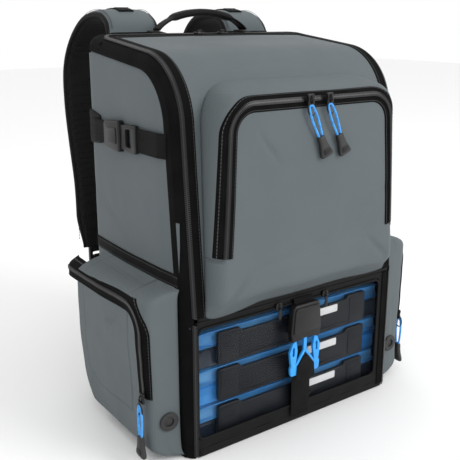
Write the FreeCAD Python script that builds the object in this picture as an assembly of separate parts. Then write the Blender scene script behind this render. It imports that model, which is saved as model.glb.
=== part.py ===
"""Tackle backpack: a soft grey pack with a tray bay, a big clamshell flap and three zip pockets.

Frame: millimetres, +Z up, the front faces -Y, +X is to the right of someone facing the front.
The origin is the middle of the footprint on the ground. Left is -X, right is +X.
"""
import math
import os

import FreeCAD
import Part

V = FreeCAD.Vector

# ---- driving dimensions (mm) -------------------------------------------------------------
BODY_W = 302.0          # width of the main body without its side pockets
BODY_D = 212.0          # depth of the main body, front skin to back skin
FRONT_Y = -159.0        # front skin; the body reaches back to BACK_Y
BACK_Y = FRONT_Y + BODY_D
WALL = 3.0              # padded fabric wall
EDGE_R = 16.0           # rounding of the long side edges
TOP_FRONT_Z = 415.0     # where the front and top lines would meet
TOP_BACK_Z = 438.0      # rear edge of the lid
SHOULDER_R = 72.0       # big front shoulder of the lid
LEAN = 22.0             # how far the front leans back at the top
BAND = 0.9              # thickness of sewn-on tape
GAP = 0.4               # clearance between pieces that part

FLAP_HINGE_Z = 158.3    # fold line of the clamshell flap
SPLIT_X = 141.5         # main zip line, measured from the middle
LID_BACK = 28.0         # the lid ends this far in front of the back skin
RING_BAND_FRONT = 20.0  # width of the side zip band along the front edge
RING_BAND_TOP = 17.0    # and along the top edge
FLAP_BAND = 13.0        # width of the zip band on the flap

TRAY_W = 279.0          # a 3600-size tackle tray
TRAY_D = 184.0
TRAY_H = 42.6
TRAY_PITCH = 43.3
TRAY_Z = 8.0            # underside of the lowest tray, which stands on a liner
TRAY_Y = FRONT_Y + 13.0
TRAY_COUNT = 3
TRAY_WALL = 2.0
RIB = 1.6               # ribs between a tray's troughs
LID_SEAM = 24.5         # a tray's base ends and its lid starts at this height
SHELF_Z = 150.0

DOOR_HINGE_Z = 4.7
DOOR_TOP_Z = 156.6
WINDOW_FRAME_LEFT = 4.0
WINDOW_FRAME_RIGHT = 17.0
WINDOW_FRAME_LOW = 15.0
WINDOW_FRAME_TOP = 10.0

POCKET_TOP_Z = 190.0    # side pockets
POCKET_OUT = 42.0       # how far a side pocket stands out
CLOTH = 2.2             # single fabric wall

FRONT_POCKET_BOTTOM = 163.0
FRONT_POCKET_TOP = 392.0
FRONT_POCKET_HALF_LOW = 129.5    # half-widths of the front pocket at its bottom and top
FRONT_POCKET_HALF_TOP = 121.5
ARCH_HALF_LOW = 117.0            # half-widths of its zip's arch at both ends
ARCH_HALF_TOP = 108.0
ARCH_TOP_Z = 375.0
POCKET_HINGE_Z = 223.0
STRAP_W = 25.0          # webbing

X_AXIS = V(1, 0, 0)
Y_AXIS = V(0, 1, 0)
Z_AXIS = V(0, 0, 1)


# ---- small helpers -----------------------------------------------------------------------
def box(x0, x1, y0, y1, z0, z1):
    return Part.makeBox(x1 - x0, y1 - y0, z1 - z0, V(x0, y0, z0))


def mirrored(shape):
    return shape.mirror(V(0, 0, 0), X_AXIS)


def group(shapes):
    return Part.makeCompound(shapes)


def fused(shapes):
    whole = shapes[0]
    for extra in shapes[1:]:
        whole = whole.fuse(extra)
    return whole.removeSplitter()


def rounded_wire(corners, place):
    """A closed wire through corners (a, b, radius); place() maps (a, b) to a 3-D point."""
    count = len(corners)
    starts, mids, ends = [], [], []
    for i in range(count):
        a, b, radius = corners[i]
        here = V(a, b, 0)
        before = V(*corners[i - 1][:2], 0)
        after = V(*corners[(i + 1) % count][:2], 0)
        back = (before - here).normalize()
        ahead = (after - here).normalize()
        if radius <= 0:
            starts.append(here)
            mids.append(None)
            ends.append(here)
            continue
        half = back.getAngle(ahead) / 2
        reach = radius / math.tan(half)
        bisector = (back + ahead).normalize()
        starts.append(here + back * reach)
        mids.append(here + bisector * (radius / math.sin(half) - radius))
        ends.append(here + ahead * reach)
    edges = []
    for i in range(count):
        if mids[i] is not None:
            points = [place(p.x, p.y) for p in (starts[i], mids[i], ends[i])]
            edges.append(Part.Arc(*points).toShape())
        run_from, run_to = ends[i], starts[(i + 1) % count]
        if run_from.distanceToPoint(run_to) > 1e-6:
            edges.append(Part.makeLine(place(run_from.x, run_from.y), place(run_to.x, run_to.y)))
    return Part.Wire(edges)


def inset(corners, distance):
    """The same closed outline moved inwards; corners run counter-clockwise."""
    count = len(corners)
    moved = []
    for i in range(count):
        here = V(*corners[i][:2], 0)
        before = V(*corners[i - 1][:2], 0)
        after = V(*corners[(i + 1) % count][:2], 0)
        into = (here - before).normalize()
        out = (after - here).normalize()
        normal_in = V(-into.y, into.x, 0)
        normal_out = V(-out.y, out.x, 0)
        spread = (normal_in + normal_out).normalize()
        shift = spread * (distance / spread.dot(normal_in))
        radius = corners[i][2]
        new_radius = max(radius - distance, 0.0) if radius > 0 else 0.0
        moved.append((here.x + shift.x, here.y + shift.y, new_radius))
    return moved


def prism_x(corners, x0, x1):
    """Outline in (y, z) pulled along X."""
    wire = rounded_wire(corners, lambda y, z: V(x0, y, z))
    return Part.Face(wire).extrude(V(x1 - x0, 0, 0))


def prism_y(corners, y0, y1):
    """Outline in (x, z) pulled along Y."""
    wire = rounded_wire(corners, lambda x, z: V(x, y0, z))
    return Part.Face(wire).extrude(V(0, y1 - y0, 0))


def prism_z(corners, z0, z1):
    """Outline in (x, y) pulled along Z."""
    wire = rounded_wire(corners, lambda x, y: V(x, y, z0))
    return Part.Face(wire).extrude(V(0, 0, z1 - z0))


def upright_edges_at_x(shape, x):
    """Edges of a body's side face, apart from the one it stands on."""
    found = []
    for edge in shape.Edges:
        bounds = edge.BoundBox
        flat = abs(bounds.XMin - x) < 1e-3 and abs(bounds.XMax - x) < 1e-3
        if flat and bounds.ZMax > WALL + 1:
            found.append(edge)
    return found


def soft_box(x0, x1, y0, y1, z0, z1, radius):
    """A box with all its edges rounded."""
    plain = box(x0, x1, y0, y1, z0, z1)
    return plain.makeFillet(radius, plain.Edges)


# ---- main body ---------------------------------------------------------------------------
def body_outline(shrink):
    """Side view of the body as (y, z, radius), counter-clockwise seen from +X."""
    corners = [(FRONT_Y, 0, 0), (BACK_Y, 0, 0), (BACK_Y, TOP_BACK_Z, 18),
               (FRONT_Y + LEAN, TOP_FRONT_Z, SHOULDER_R), (FRONT_Y, FLAP_HINGE_Z, 120)]
    return inset(corners, shrink)


def body_solid(shrink):
    half = BODY_W / 2 - shrink
    solid = prism_x(body_outline(shrink), -half, half)
    long_edges = upright_edges_at_x(solid, -half) + upright_edges_at_x(solid, half)
    return solid.makeFillet(EDGE_R - shrink, long_edges)


OUTER = body_solid(0)
SHELL = OUTER.cut(body_solid(WALL))
SKIN = body_solid(-BAND).cut(OUTER).common(box(-400, 400, -400, 400, 0, 600))
HALF_W = BODY_W / 2


def shell_part(x0, x1, y0, y1, z0, z1):
    return SHELL.common(box(x0, x1, y0, y1, z0, z1))


def side_panel():
    return shell_part(-200, -SPLIT_X - GAP / 2, -200, 200, 0, 500)


def back_panel():
    edge = SPLIT_X + GAP / 2
    return shell_part(-edge, edge, BACK_Y - LID_BACK + GAP / 2, BACK_Y + 1, WALL, 400)


def top_yoke():
    edge = SPLIT_X + GAP / 2
    return shell_part(-edge, edge, BACK_Y - LID_BACK + GAP / 2, BACK_Y + 1, 400, 500)


def base_panel():
    edge = SPLIT_X + GAP / 2
    return shell_part(-edge, edge, FRONT_Y, BACK_Y, 0, WALL)


def main_flap_shell():
    edge = SPLIT_X - GAP / 2
    return shell_part(-edge, edge, -200, BACK_Y - LID_BACK - GAP / 2, 160.4, 500)


def side_band_window():
    """What the side zip band leaves free on the side: everything behind and below it."""
    corners = [(FRONT_Y + RING_BAND_FRONT, -50, 0), (BACK_Y + 50, -50, 0),
               (BACK_Y + 50, TOP_BACK_Z - RING_BAND_TOP + 6, 0),
               (FRONT_Y + LEAN + RING_BAND_FRONT - 3, TOP_FRONT_Z - RING_BAND_TOP, SHOULDER_R - RING_BAND_TOP),
               (FRONT_Y + RING_BAND_FRONT, FLAP_HINGE_Z, 120)]
    return prism_x(corners, -400, 400)


def fixed_zip_bands():
    """Zip tape on both sides and across the rear, and the binding over each side pocket."""
    edge = SPLIT_X + GAP / 2
    side = SKIN.common(box(-200, -edge, -200, BACK_Y - 4, 0, 500)).cut(side_band_window())
    rear = SKIN.common(box(-edge, edge, BACK_Y - LID_BACK + GAP / 2, BACK_Y - 11, 400, 500))
    low = POCKET_TOP_Z + 0.4
    binding = SKIN.common(box(-200, -edge, FRONT_Y + 20, BACK_Y - 2, low, low + 15))
    binding = binding.common(side_band_window())
    return group([side, mirrored(side), rear, binding, mirrored(binding)])


def flap_zip_band():
    edge = SPLIT_X - GAP / 2
    rim = BACK_Y - LID_BACK - GAP / 2
    outer = SKIN.common(box(-edge, edge, -200, rim, 160.4, 500))
    inner = box(-edge + FLAP_BAND, edge - FLAP_BAND, -200, rim - FLAP_BAND, 100, 500)
    return outer.cut(inner)


def tray_shelf():
    """Floor of the main compartment, turned up at the front into the strip over the door."""
    floor = body_solid(WALL + 0.2).common(box(-200, 200, -200, 200, SHELF_Z, SHELF_Z + 3))
    riser = box(-134, 134, FRONT_Y + WALL + 0.2, FRONT_Y + WALL + 2.2, SHELF_Z, 159.9)
    strip = box(-134, 134, FRONT_Y + 0.2, FRONT_Y + WALL + 0.2, DOOR_TOP_Z + GAP, 159.9)
    return fused([floor, riser, strip])


# ---- tray door ---------------------------------------------------------------------------
DOOR_EDGE = SPLIT_X - GAP / 2
DOOR_LOW_Z = DOOR_HINGE_Z + 0.6


def window_outline():
    left, right = WINDOW_FRAME_LEFT - DOOR_EDGE, DOOR_EDGE - WINDOW_FRAME_RIGHT
    low, high = DOOR_LOW_Z + WINDOW_FRAME_LOW, DOOR_TOP_Z - WINDOW_FRAME_TOP
    return [(left, low, 8), (right, low, 8), (right, high, 8), (left, high, 8)]


def window_frame():
    sheet = shell_part(-DOOR_EDGE, DOOR_EDGE, -200, FRONT_Y + WALL, DOOR_LOW_Z, DOOR_TOP_Z)
    return sheet.cut(prism_y(window_outline(), -200, 0))


def window_pane():
    return prism_y(window_outline(), FRONT_Y + 1.0, FRONT_Y + 2.2)


BUCKLE_BACK = FRONT_Y - 0.8      # rear face of the buckle
BUCKLE_T = 10.5
WEB_Y = FRONT_Y - 4.4            # webbing in the buckle
WEB_T = 1.6
WINDOW_WEB = 28.0                # width of the centre strap
FEMALE_LOW, FEMALE_HIGH = 105.0, 149.0
MALE_LOW = 64.0


def window_strap():
    """Short upper webbing behind the socket half, lower webbing from the bottom edge."""
    half = WINDOW_WEB / 2
    upper = box(-half, half, WEB_Y, WEB_Y + WEB_T, 143.0, 154.6)
    upper_foot = box(-half, half, WEB_Y + WEB_T, FRONT_Y, 150.5, 154.6)
    lower = box(-half, half, WEB_Y, WEB_Y + WEB_T, 8.0, MALE_LOW + 5)
    lower_foot = box(-half, half, WEB_Y + WEB_T, FRONT_Y, 8.0, 15.0)
    return group([fused([upper, upper_foot]), fused([lower, lower_foot])])


def buckle_male():
    """Open prong half: foot bar, two spring wings with an eye, and a forked middle guide."""
    front, back = BUCKLE_BACK - 7.7, BUCKLE_BACK - 4.0
    low = MALE_LOW
    bar = prism_y([(-21, low, 3), (21, low, 3), (21, low + 15, 4), (13, low + 15, 1), (9, low + 7, 2),
                   (-9, low + 7, 2), (-13, low + 15, 1), (-21, low + 15, 4)], front, back)
    wing = prism_y([(-21, low + 13, 2), (-14, low + 13, 2), (-11.5, low + 30, 5), (-12.5, low + 41, 1),
                    (-12, low + 68, 1), (-16.6, low + 64, 1), (-17, low + 42, 2), (-22.5, low + 31, 7)],
                   front + 0.4, back - 0.4)
    eye = prism_y([(-18.6, low + 24, 1.5), (-15.4, low + 24, 1.5), (-15.4, low + 35, 1.5),
                   (-18.6, low + 35, 1.5)], front - 1, back + 1)
    wing = wing.cut(eye)
    leg = prism_y([(-15, low + 12, 0), (-11, low + 12, 0), (2, low + 28, 0), (-1, low + 31, 0)],
                  front + 0.6, back - 0.6)
    stem = prism_y([(-2.4, low + 26, 0), (2.4, low + 26, 0), (1.8, low + 68, 1), (-1.8, low + 68, 1)],
                   front + 0.6, back - 0.6)
    return fused([bar, wing, mirrored(wing), leg, mirrored(leg), stem])


def buckle_female():
    """Socket half: a rounded case with a mouth at the bottom and a webbing slot at the top."""
    half, back = 22.0, BUCKLE_BACK
    case = prism_y([(-half, FEMALE_LOW, 2), (half, FEMALE_LOW, 2), (half - 3, FEMALE_HIGH, 6),
                    (3 - half, FEMALE_HIGH, 6)], back - BUCKLE_T, back)
    mouth = box(-18.0, 18.0, back - 8.2, back - 2.2, FEMALE_LOW - 1, FEMALE_LOW + 31)
    web_slot = box(-WINDOW_WEB / 2, WINDOW_WEB / 2, WEB_Y, WEB_Y + WEB_T,
                   FEMALE_HIGH - 6, FEMALE_HIGH + 1)
    return case.cut(mouth).cut(web_slot)


def small_slider(x, y_back, z, width, height):
    """Zip slider seen from the front: a low body with a bridge for the puller."""
    body = box(x - width / 2, x + width / 2, y_back - 2.6, y_back, z - height / 2, z + height / 2)
    body = body.makeFillet(1.0, body.Edges)
    bridge = box(x - 1.6, x + 1.6, y_back - 5.0, y_back - 2.4, z - height / 2 + 2.0,
                 z + height / 2 - 1.5)
    hole = Part.makeCylinder(1.2, 10, V(x - 5, y_back - 3.2, z), X_AXIS)
    return body.fuse(bridge).cut(hole)


def door_slider():
    tab = box(-36.5, -31.5, FRONT_Y - 5.0, FRONT_Y - 4.0, 136.5, 146.9)
    return group([small_slider(-34, FRONT_Y - 0.4, 151, 9, 8), tab])


# ---- tackle trays ------------------------------------------------------------------------
def tray_base(z):
    """Open tray with three long troughs."""
    outside = box(-TRAY_W / 2, TRAY_W / 2, TRAY_Y, TRAY_Y + TRAY_D, z, z + LID_SEAM)
    trough_d = (TRAY_D - 2 * TRAY_WALL - 2 * RIB) / 3
    for row in range(3):
        y0 = TRAY_Y + TRAY_WALL + row * (trough_d + RIB)
        outside = outside.cut(box(-TRAY_W / 2 + TRAY_WALL, TRAY_W / 2 - TRAY_WALL,
                                  y0, y0 + trough_d, z + TRAY_WALL, z + TRAY_H))
    return outside


def tray_lid(z):
    top = z + TRAY_H
    plate = box(-TRAY_W / 2, TRAY_W / 2, TRAY_Y, TRAY_Y + TRAY_D, z + LID_SEAM + 0.2, top)
    hollow = box(-TRAY_W / 2 + TRAY_WALL, TRAY_W / 2 - TRAY_WALL, TRAY_Y + TRAY_WALL,
                 TRAY_Y + TRAY_D - TRAY_WALL, z, top - TRAY_WALL)
    return plate.cut(hollow)


def tray_latch(z):
    """Long snap bar across the front of a tray, with a taller block at each end."""
    front, back = TRAY_Y - 6.0, TRAY_Y - 0.2
    corners = [(-109, z + 3, 3), (109, z + 3, 3), (109, z + 40.5, 3), (80, z + 40.5, 3),
               (77, z + 36, 3), (-77, z + 36, 3), (-80, z + 40.5, 3), (-109, z + 40.5, 3)]
    bar = prism_y(corners, front, back)
    hollow = prism_y(inset(corners, 2.2), front + 1.8, back + 1)
    return bar.cut(hollow)


def tray_labels():
    """Blank white stickers on the right half of each snap bar."""
    stickers = []
    for k in range(TRAY_COUNT):
        z = TRAY_Z + k * TRAY_PITCH
        stickers.append(box(16, 62, TRAY_Y - 6.5, TRAY_Y - 6.0, z + 25.5, z + 34.5))
    return group(stickers)


# ---- front pocket ------------------------------------------------------------------------
FACE_LOW = (FRONT_Y - 19.0, 184.0)      # lower and upper ends of the pocket's outer face
FACE_HIGH = (FRONT_Y - 15.0, 382.0)


def face_y(z):
    """Y of the pocket's outer face at a height."""
    part = (z - FACE_LOW[1]) / (FACE_HIGH[1] - FACE_LOW[1])
    return FACE_LOW[0] + part * (FACE_HIGH[0] - FACE_LOW[0])


def pocket_block(shrink, back_y):
    side = [(FRONT_Y, FRONT_POCKET_BOTTOM, 0), (back_y, FRONT_POCKET_BOTTOM, 0),
            (back_y, FRONT_POCKET_TOP, 0), (FRONT_Y + 6, FRONT_POCKET_TOP, 0),
            (*FACE_HIGH, 12), (*FACE_LOW, 14)]
    low, high = FRONT_POCKET_HALF_LOW, FRONT_POCKET_HALF_TOP
    front = [(-low, FRONT_POCKET_BOTTOM, 6), (low, FRONT_POCKET_BOTTOM, 6),
             (high, FRONT_POCKET_TOP, 38), (-high, FRONT_POCKET_TOP, 38)]
    long_way = prism_x(inset(side, shrink), -200, 200)
    return long_way.common(prism_y(inset(front, shrink), -250, 50))


def zip_arch(grow):
    """Arch of the pocket zip in front view; grow widens it from the coil line."""
    low = POCKET_HINGE_Z + 0.3
    wide, narrow = ARCH_HALF_LOW + grow, ARCH_HALF_TOP + grow
    return [(-wide, low, 0), (wide, low, 0),
            (narrow, ARCH_TOP_Z + grow, 30 + grow), (-narrow, ARCH_TOP_Z + grow, 30 + grow)]


POCKET_SHELL = pocket_block(0, FRONT_Y + 30).cut(pocket_block(CLOTH, FRONT_Y + 40)).cut(OUTER)


def front_pocket_gusset(zip_band):
    opening = prism_y(zip_arch(GAP / 2), -250, FRONT_Y - 4)
    return POCKET_SHELL.cut(opening).cut(zip_band)


def front_pocket_panel():
    return POCKET_SHELL.common(prism_y(zip_arch(-GAP / 2), -250, FRONT_Y - 4))


def face_slab():
    """Thin slab lying on the pocket's outer face."""
    low, high = POCKET_HINGE_Z + 1.0, 381.0
    corners = [(face_y(low) - BAND, low, 0), (face_y(low), low, 0),
               (face_y(high), high, 0), (face_y(high) - BAND, high, 0)]
    return prism_x(corners, -200, 200)


def pocket_zip_outer():
    ring = prism_y(zip_arch(8.6), -250, 0).cut(prism_y(zip_arch(GAP / 2), -260, 10))
    return face_slab().common(ring)


def pocket_zip_inner():
    ring = prism_y(zip_arch(-GAP / 2), -250, 0).cut(prism_y(zip_arch(-8.6), -260, 10))
    return face_slab().common(ring)


# ---- pulls: ring, cord loop and grip -----------------------------------------------------
# A cord loop's route: (along the pull, sideways), from the grip over the ring and back.
CORD_D = 2.6
LOOP_ROUTE = [(37.0, -1.9), (27.5, -3.2), (15.0, -4.0), (5.0, -3.3), (-0.6, -2.0),
              (-0.6, 2.0), (5.0, 3.3), (15.0, 4.0), (27.5, 3.2), (37.0, 1.9)]


def tube_along(points, diameter):
    """Round tube on straight runs joined by tangent arcs; prints its radii and length."""
    edges, radii = [], []
    last = points[0]
    for i in range(1, len(points) - 1):
        here = points[i]
        back, ahead = points[i - 1] - here, points[i + 1] - here
        shorter = min(back.Length, ahead.Length)
        half_turn = (math.pi - back.getAngle(ahead)) / 2
        reach = 0.45 * shorter
        radius = reach / math.tan(half_turn)
        radii.append(radius)
        start = here + V(back).normalize() * reach
        end = here + V(ahead).normalize() * reach
        bisector = (V(back).normalize() + V(ahead).normalize()).normalize()
        middle = here + bisector * (radius / math.cos(half_turn) - radius)
        edges.append(Part.LineSegment(last, start).toShape())
        edges.append(Part.Arc(start, middle, end).toShape())
        last = end
    edges.append(Part.LineSegment(last, points[-1]).toShape())
    path = Part.Wire(edges)
    first_way = (points[1] - points[0]).normalize()
    circle = Part.Wire(Part.makeCircle(diameter / 2, points[0], first_way))
    tube = path.makePipeShell([circle], True, True)
    expected = math.pi * diameter ** 2 / 4 * path.Length
    print("cord: length %.1f, smallest radius %.1f, volume / expected %.3f"
          % (path.Length, min(radii), tube.Volume / expected))
    return tube


def pull_points(origin, down, side):
    return [origin + down * a + side * b for a, b in LOOP_ROUTE]


def pull_cord(origin, down, side):
    return tube_along(pull_points(origin, down, side), CORD_D)


def pull_hardware(origin, down, side, out):
    """Pin that the cord loop hangs from, and the flared grip at the loop's end."""
    pin_low, pin_high = -1.9, 2.4
    pin = Part.makeCylinder(1.0, pin_high - pin_low, origin + down * 2.2 + out * pin_low, out)
    grip_wire = []
    for a, b in [(36.0, -4.6), (36.0, 4.6), (59.0, 8.6), (57.5, -8.6)]:
        grip_wire.append(origin + down * a + side * b - out * 3.2)
    grip_wire.append(grip_wire[0])
    grip = Part.Face(Part.makePolygon(grip_wire)).extrude(out * 6.4)
    grip = grip.makeFillet(1.8, grip.Edges)
    for side_way in (-1, 1):
        seat = origin + down * 30.0 + side * 1.95 * side_way
        grip = grip.cut(Part.makeCylinder(CORD_D / 2 + 0.25, 7.6, seat, down))
    return pin, grip


def front_pull(x):
    """A front pocket pull lies on the pocket face, slanted to the right."""
    slope = (FACE_HIGH[0] - FACE_LOW[0]) / (FACE_HIGH[1] - FACE_LOW[1])
    face_down = V(0, -slope, -1).normalize()
    out = V(0, -1, slope).normalize()
    turn = math.radians(24)
    down = face_down * math.cos(turn) + X_AXIS * math.sin(turn)
    side = X_AXIS * math.cos(turn) - face_down * math.sin(turn)
    origin = V(x, face_y(ARCH_TOP_Z - 6) - BAND - 4.6, ARCH_TOP_Z - 6)
    return origin, down, side, out


def pocket_slider(x):
    return small_slider(x, face_y(ARCH_TOP_Z - 5) - BAND - 0.4, ARCH_TOP_Z + 0.5, 10, 11)


# ---- side pockets (made on the left, mirrored to the right) --------------------------------
POCKET_X = -HALF_W - POCKET_OUT
POCKET_FRONT = FRONT_Y + 17
POCKET_PLAN = [(-140, FRONT_Y + 13, 0), (-140, BACK_Y - 3, 0), (POCKET_X + 1, BACK_Y - 5, 18),
               (POCKET_X + 1, POCKET_FRONT, 9)]
POCKET_HEEL = 52.0               # rounding of the lower rear corner seen from the side
POCKET_TAPER = 0.02              # the outer face comes in by this much per mm going down
POCKET_ZIP_Y = FRONT_Y + 31
POCKET_ZIP_Z = 175.0
POCKET_ZIP_LOW = 78.0
POCKET_ZIP_REAR = BACK_Y - 26
FLAP_END = 6.0                   # height of the flap's square-cut ends


def side_pocket_block(shrink):
    plan = inset(POCKET_PLAN, shrink)
    low, high = 5.0 + shrink, POCKET_TOP_Z - shrink
    block = prism_z(plan, low, high)
    rounded = []
    for edge in block.Edges:
        bounds = edge.BoundBox
        level = abs(bounds.ZMin - bounds.ZMax) < 1e-3
        outside = bounds.XMin < -HALF_W - 1
        if level and outside:
            rounded.append(edge)
    block = block.makeFillet(9.0 - shrink, rounded)
    heel = [(FRONT_Y, low, 0), (BACK_Y - shrink, low, POCKET_HEEL - shrink),
            (BACK_Y - shrink, high, 0), (FRONT_Y, high, 0)]
    return block.common(prism_x(heel, -250, -100))


def tapered(shape):
    """Bring a left pocket's lower end in towards the body."""
    shear = FreeCAD.Matrix()
    shear.A13 = -POCKET_TAPER
    shear.A14 = POCKET_TAPER * POCKET_TOP_Z
    return shape.transformGeometry(shear)


def pocket_face_x(z):
    """X of the left pocket's outer face at a height."""
    return POCKET_X + 1 + POCKET_TAPER * (POCKET_TOP_Z - z)


def side_pocket_shell():
    return tapered(side_pocket_block(0).cut(side_pocket_block(CLOTH))).cut(OUTER)


SIDE_SHELL = side_pocket_shell()


def side_flap_outline(grow):
    """The flap's hinge edge is the diagonal; its two ends are cut square so that it can fold."""
    low = V(POCKET_ZIP_Y, POCKET_ZIP_LOW, 0)
    high = V(POCKET_ZIP_REAR, POCKET_ZIP_Z, 0)
    along = (high - low).normalize()
    up = V(-along.y, along.x, 0) * FLAP_END
    first = low + along * (FLAP_END * along.y / along.x)
    last = high - along * (FLAP_END * along.x / along.y)
    ends = [first, last, last + up, V(POCKET_ZIP_Y, POCKET_ZIP_Z, 0), first + up]
    radii = [0, 0, 0, 18, 0]
    return inset([(p.x, p.y, r) for p, r in zip(ends, radii)], -grow)


def side_pocket(bands):
    opening = prism_x(side_flap_outline(GAP / 2), POCKET_X - 20, POCKET_X + 12)
    return SIDE_SHELL.cut(opening).cut(bands)


def side_pocket_flap():
    return SIDE_SHELL.common(prism_x(side_flap_outline(-GAP / 2), POCKET_X - 20, POCKET_X + 12))


def grommet():
    """Round drain ring on the front face of a side pocket."""
    a = V(-140, FRONT_Y + 13, 0)
    b = V(POCKET_X + 1, POCKET_FRONT, 0)
    along = (b - a).normalize()
    up = V(-POCKET_TAPER, 0, 1)
    out = along.cross(up).normalize()
    if out.y > 0:
        out = out * -1
    height = 47.0
    centre = a + along * 31 + V(POCKET_TAPER * (POCKET_TOP_Z - height), 0, height)
    return Part.makeCylinder(10.5, 2.4, centre, out).cut(Part.makeCylinder(5.5, 6, centre, out))


SIDE_PULL_Z = 76.0
SIDE_PULL_Y = POCKET_ZIP_Y - 5.0


def side_seat_x():
    """X of the side slider's rear face, just above the zip tape."""
    return pocket_face_x(SIDE_PULL_Z + 2) - 1.3


def side_slider():
    upright = small_slider(0, 0, 0, 9, 12)
    upright.rotate(V(0, 0, 0), Z_AXIS, -90)
    upright.rotate(V(0, 0, 0), Y_AXIS, -math.degrees(math.atan(POCKET_TAPER)))
    upright.translate(V(side_seat_x(), SIDE_PULL_Y, SIDE_PULL_Z + 2))
    return upright


def side_pull():
    origin = V(side_seat_x() - 4.6, SIDE_PULL_Y, SIDE_PULL_Z - 6)
    return origin, V(0, 0, -1), V(0, -1, 0), V(-1, 0, 0)


# ---- compression straps ------------------------------------------------------------------
STRAP_Z = 333.5
MALE_Y0, MALE_Y1 = FRONT_Y + 84, FRONT_Y + 116
FEMALE_Y1 = FRONT_Y + 152


def compression_webbing():
    """Front webbing into the male half, and the wide tab behind the socket half."""
    x0 = -HALF_W - BAND
    half = STRAP_W / 2
    front = box(x0 - 3.4, x0 - 1.8, FRONT_Y + 41, MALE_Y0 + 8, STRAP_Z - half, STRAP_Z + half)
    foot = box(x0 - 1.8, x0, FRONT_Y + 33, FRONT_Y + 42, STRAP_Z - half, STRAP_Z + half)
    foot_top = box(x0 - 3.4, x0 - 1.8, FRONT_Y + 33, FRONT_Y + 41, STRAP_Z - half, STRAP_Z + half)
    rear = box(x0 - 3.4, x0 - 1.8, FEMALE_Y1 - 8, BACK_Y - 10, STRAP_Z - half, STRAP_Z + half)
    tab_corners = [(BACK_Y - 34, STRAP_Z - half - 3, 0), (BACK_Y - 10, STRAP_Z - half - 9, 0),
                   (BACK_Y - 10, STRAP_Z + half + 5, 0), (BACK_Y - 34, STRAP_Z + half + 2, 0)]
    tab = prism_x(tab_corners, x0 - 1.8, -HALF_W)
    return group([fused([front, foot, foot_top]), fused([rear, tab])])


def compression_male():
    x = -HALF_W - BAND
    plate = prism_x([(MALE_Y0, STRAP_Z - 15, 3), (MALE_Y1, STRAP_Z - 13, 0),
                     (MALE_Y1, STRAP_Z + 13, 0), (MALE_Y0, STRAP_Z + 15, 3)], x - 5.6, x - 0.9)
    web = box(x - 3.7, x - 1.5, MALE_Y0 - 1, MALE_Y0 + 8.4, STRAP_Z - 12.9, STRAP_Z + 12.9)
    prong = prism_x([(MALE_Y1 - 1, STRAP_Z - 12, 0), (MALE_Y1 + 15, STRAP_Z - 13, 2),
                     (MALE_Y1 + 21, STRAP_Z - 9, 1), (MALE_Y1 - 1, STRAP_Z - 8, 0)], x - 5.1, x - 1.4)
    other = prong.mirror(V(0, 0, STRAP_Z), Z_AXIS)
    return fused([plate.cut(web), prong, other])


def compression_female():
    x = -HALF_W - BAND
    case = prism_x([(MALE_Y1 + 0.6, STRAP_Z - 17, 2), (FEMALE_Y1, STRAP_Z - 14, 5),
                    (FEMALE_Y1, STRAP_Z + 14, 5), (MALE_Y1 + 0.6, STRAP_Z + 17, 2)], x - 8.6, x - 0.4)
    mouth = box(x - 5.6, x - 0.9, MALE_Y1 - 1, MALE_Y1 + 24, STRAP_Z - 14, STRAP_Z + 14)
    web = box(x - 3.9, x - 1.3, MALE_Y1 + 22, FEMALE_Y1 + 1, STRAP_Z - 13, STRAP_Z + 13)
    return case.cut(mouth).cut(web)


# ---- back, straps and handle -------------------------------------------------------------
def back_pads():
    column = soft_box(-122, -22, BACK_Y, BACK_Y + 15, 150, 402, 7)
    lumbar = soft_box(-110, 110, BACK_Y, BACK_Y + 17, 34, 136, 7)
    return group([column, mirrored(column), lumbar])


# Side view of a shoulder strap's middle line: (behind the back skin, height).
STRAP_LINE = [(9, 436), (20, 450), (44, 458), (81, 452), (111, 427), (124, 392), (115, 346),
              (96, 297), (76, 250), (64, 205), (60, 168)]
STRAP_T = 12.0
STRAP_INNER, STRAP_OUTER = 48.0, 118.0
STRAP_FLARE = 0.12
STRAP_HINGE_Z = 436.0


def band_face(line, thickness, x):
    """Flat outline of a band of even thickness along a smooth middle line."""
    middle = Part.BSplineCurve()
    middle.interpolate([V(x, BACK_Y + y, z) for y, z in line])
    first, last = middle.FirstParameter, middle.LastParameter
    steps = 24
    near, far = [], []
    for i in range(steps + 1):
        t = first + (last - first) * i / steps
        point = middle.value(t)
        way = middle.tangent(t)[0]
        normal = V(0, -way.z, way.y)
        near.append(point + normal * thickness / 2)
        far.append(point - normal * thickness / 2)
    one, two = Part.BSplineCurve(), Part.BSplineCurve()
    one.interpolate(near)
    two.interpolate(far)
    edges = [one.toShape(), Part.makeLine(near[-1], far[-1]), two.toShape(),
             Part.makeLine(far[0], near[0])]
    return Part.Face(Part.Wire(Part.__sortEdges__(edges)))


def flared(shape):
    """Lean a left strap outwards as it comes down."""
    shear = FreeCAD.Matrix()
    shear.A13 = STRAP_FLARE
    shear.A14 = -STRAP_FLARE * STRAP_HINGE_Z
    return shape.transformGeometry(shear)


def shoulder_strap():
    """Padded strap with the ladder lock at its lower end."""
    face = band_face(STRAP_LINE, STRAP_T, -STRAP_OUTER)
    pad = flared(face.extrude(V(STRAP_OUTER - STRAP_INNER, 0, 0)))
    end_y, end_z = STRAP_LINE[-1]
    x = -(STRAP_INNER + STRAP_OUTER) / 2 + STRAP_FLARE * (end_z - STRAP_HINGE_Z)
    y = BACK_Y + end_y
    lock = box(x - 17, x + 17, y - 5, y + 3, end_z - 26, end_z - 0.5)
    for low in (end_z - 21, end_z - 11):
        lock = lock.cut(box(x - 13, x + 13, y - 6, y + 4, low, low + 4.5))
    return group([pad, lock])


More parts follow.
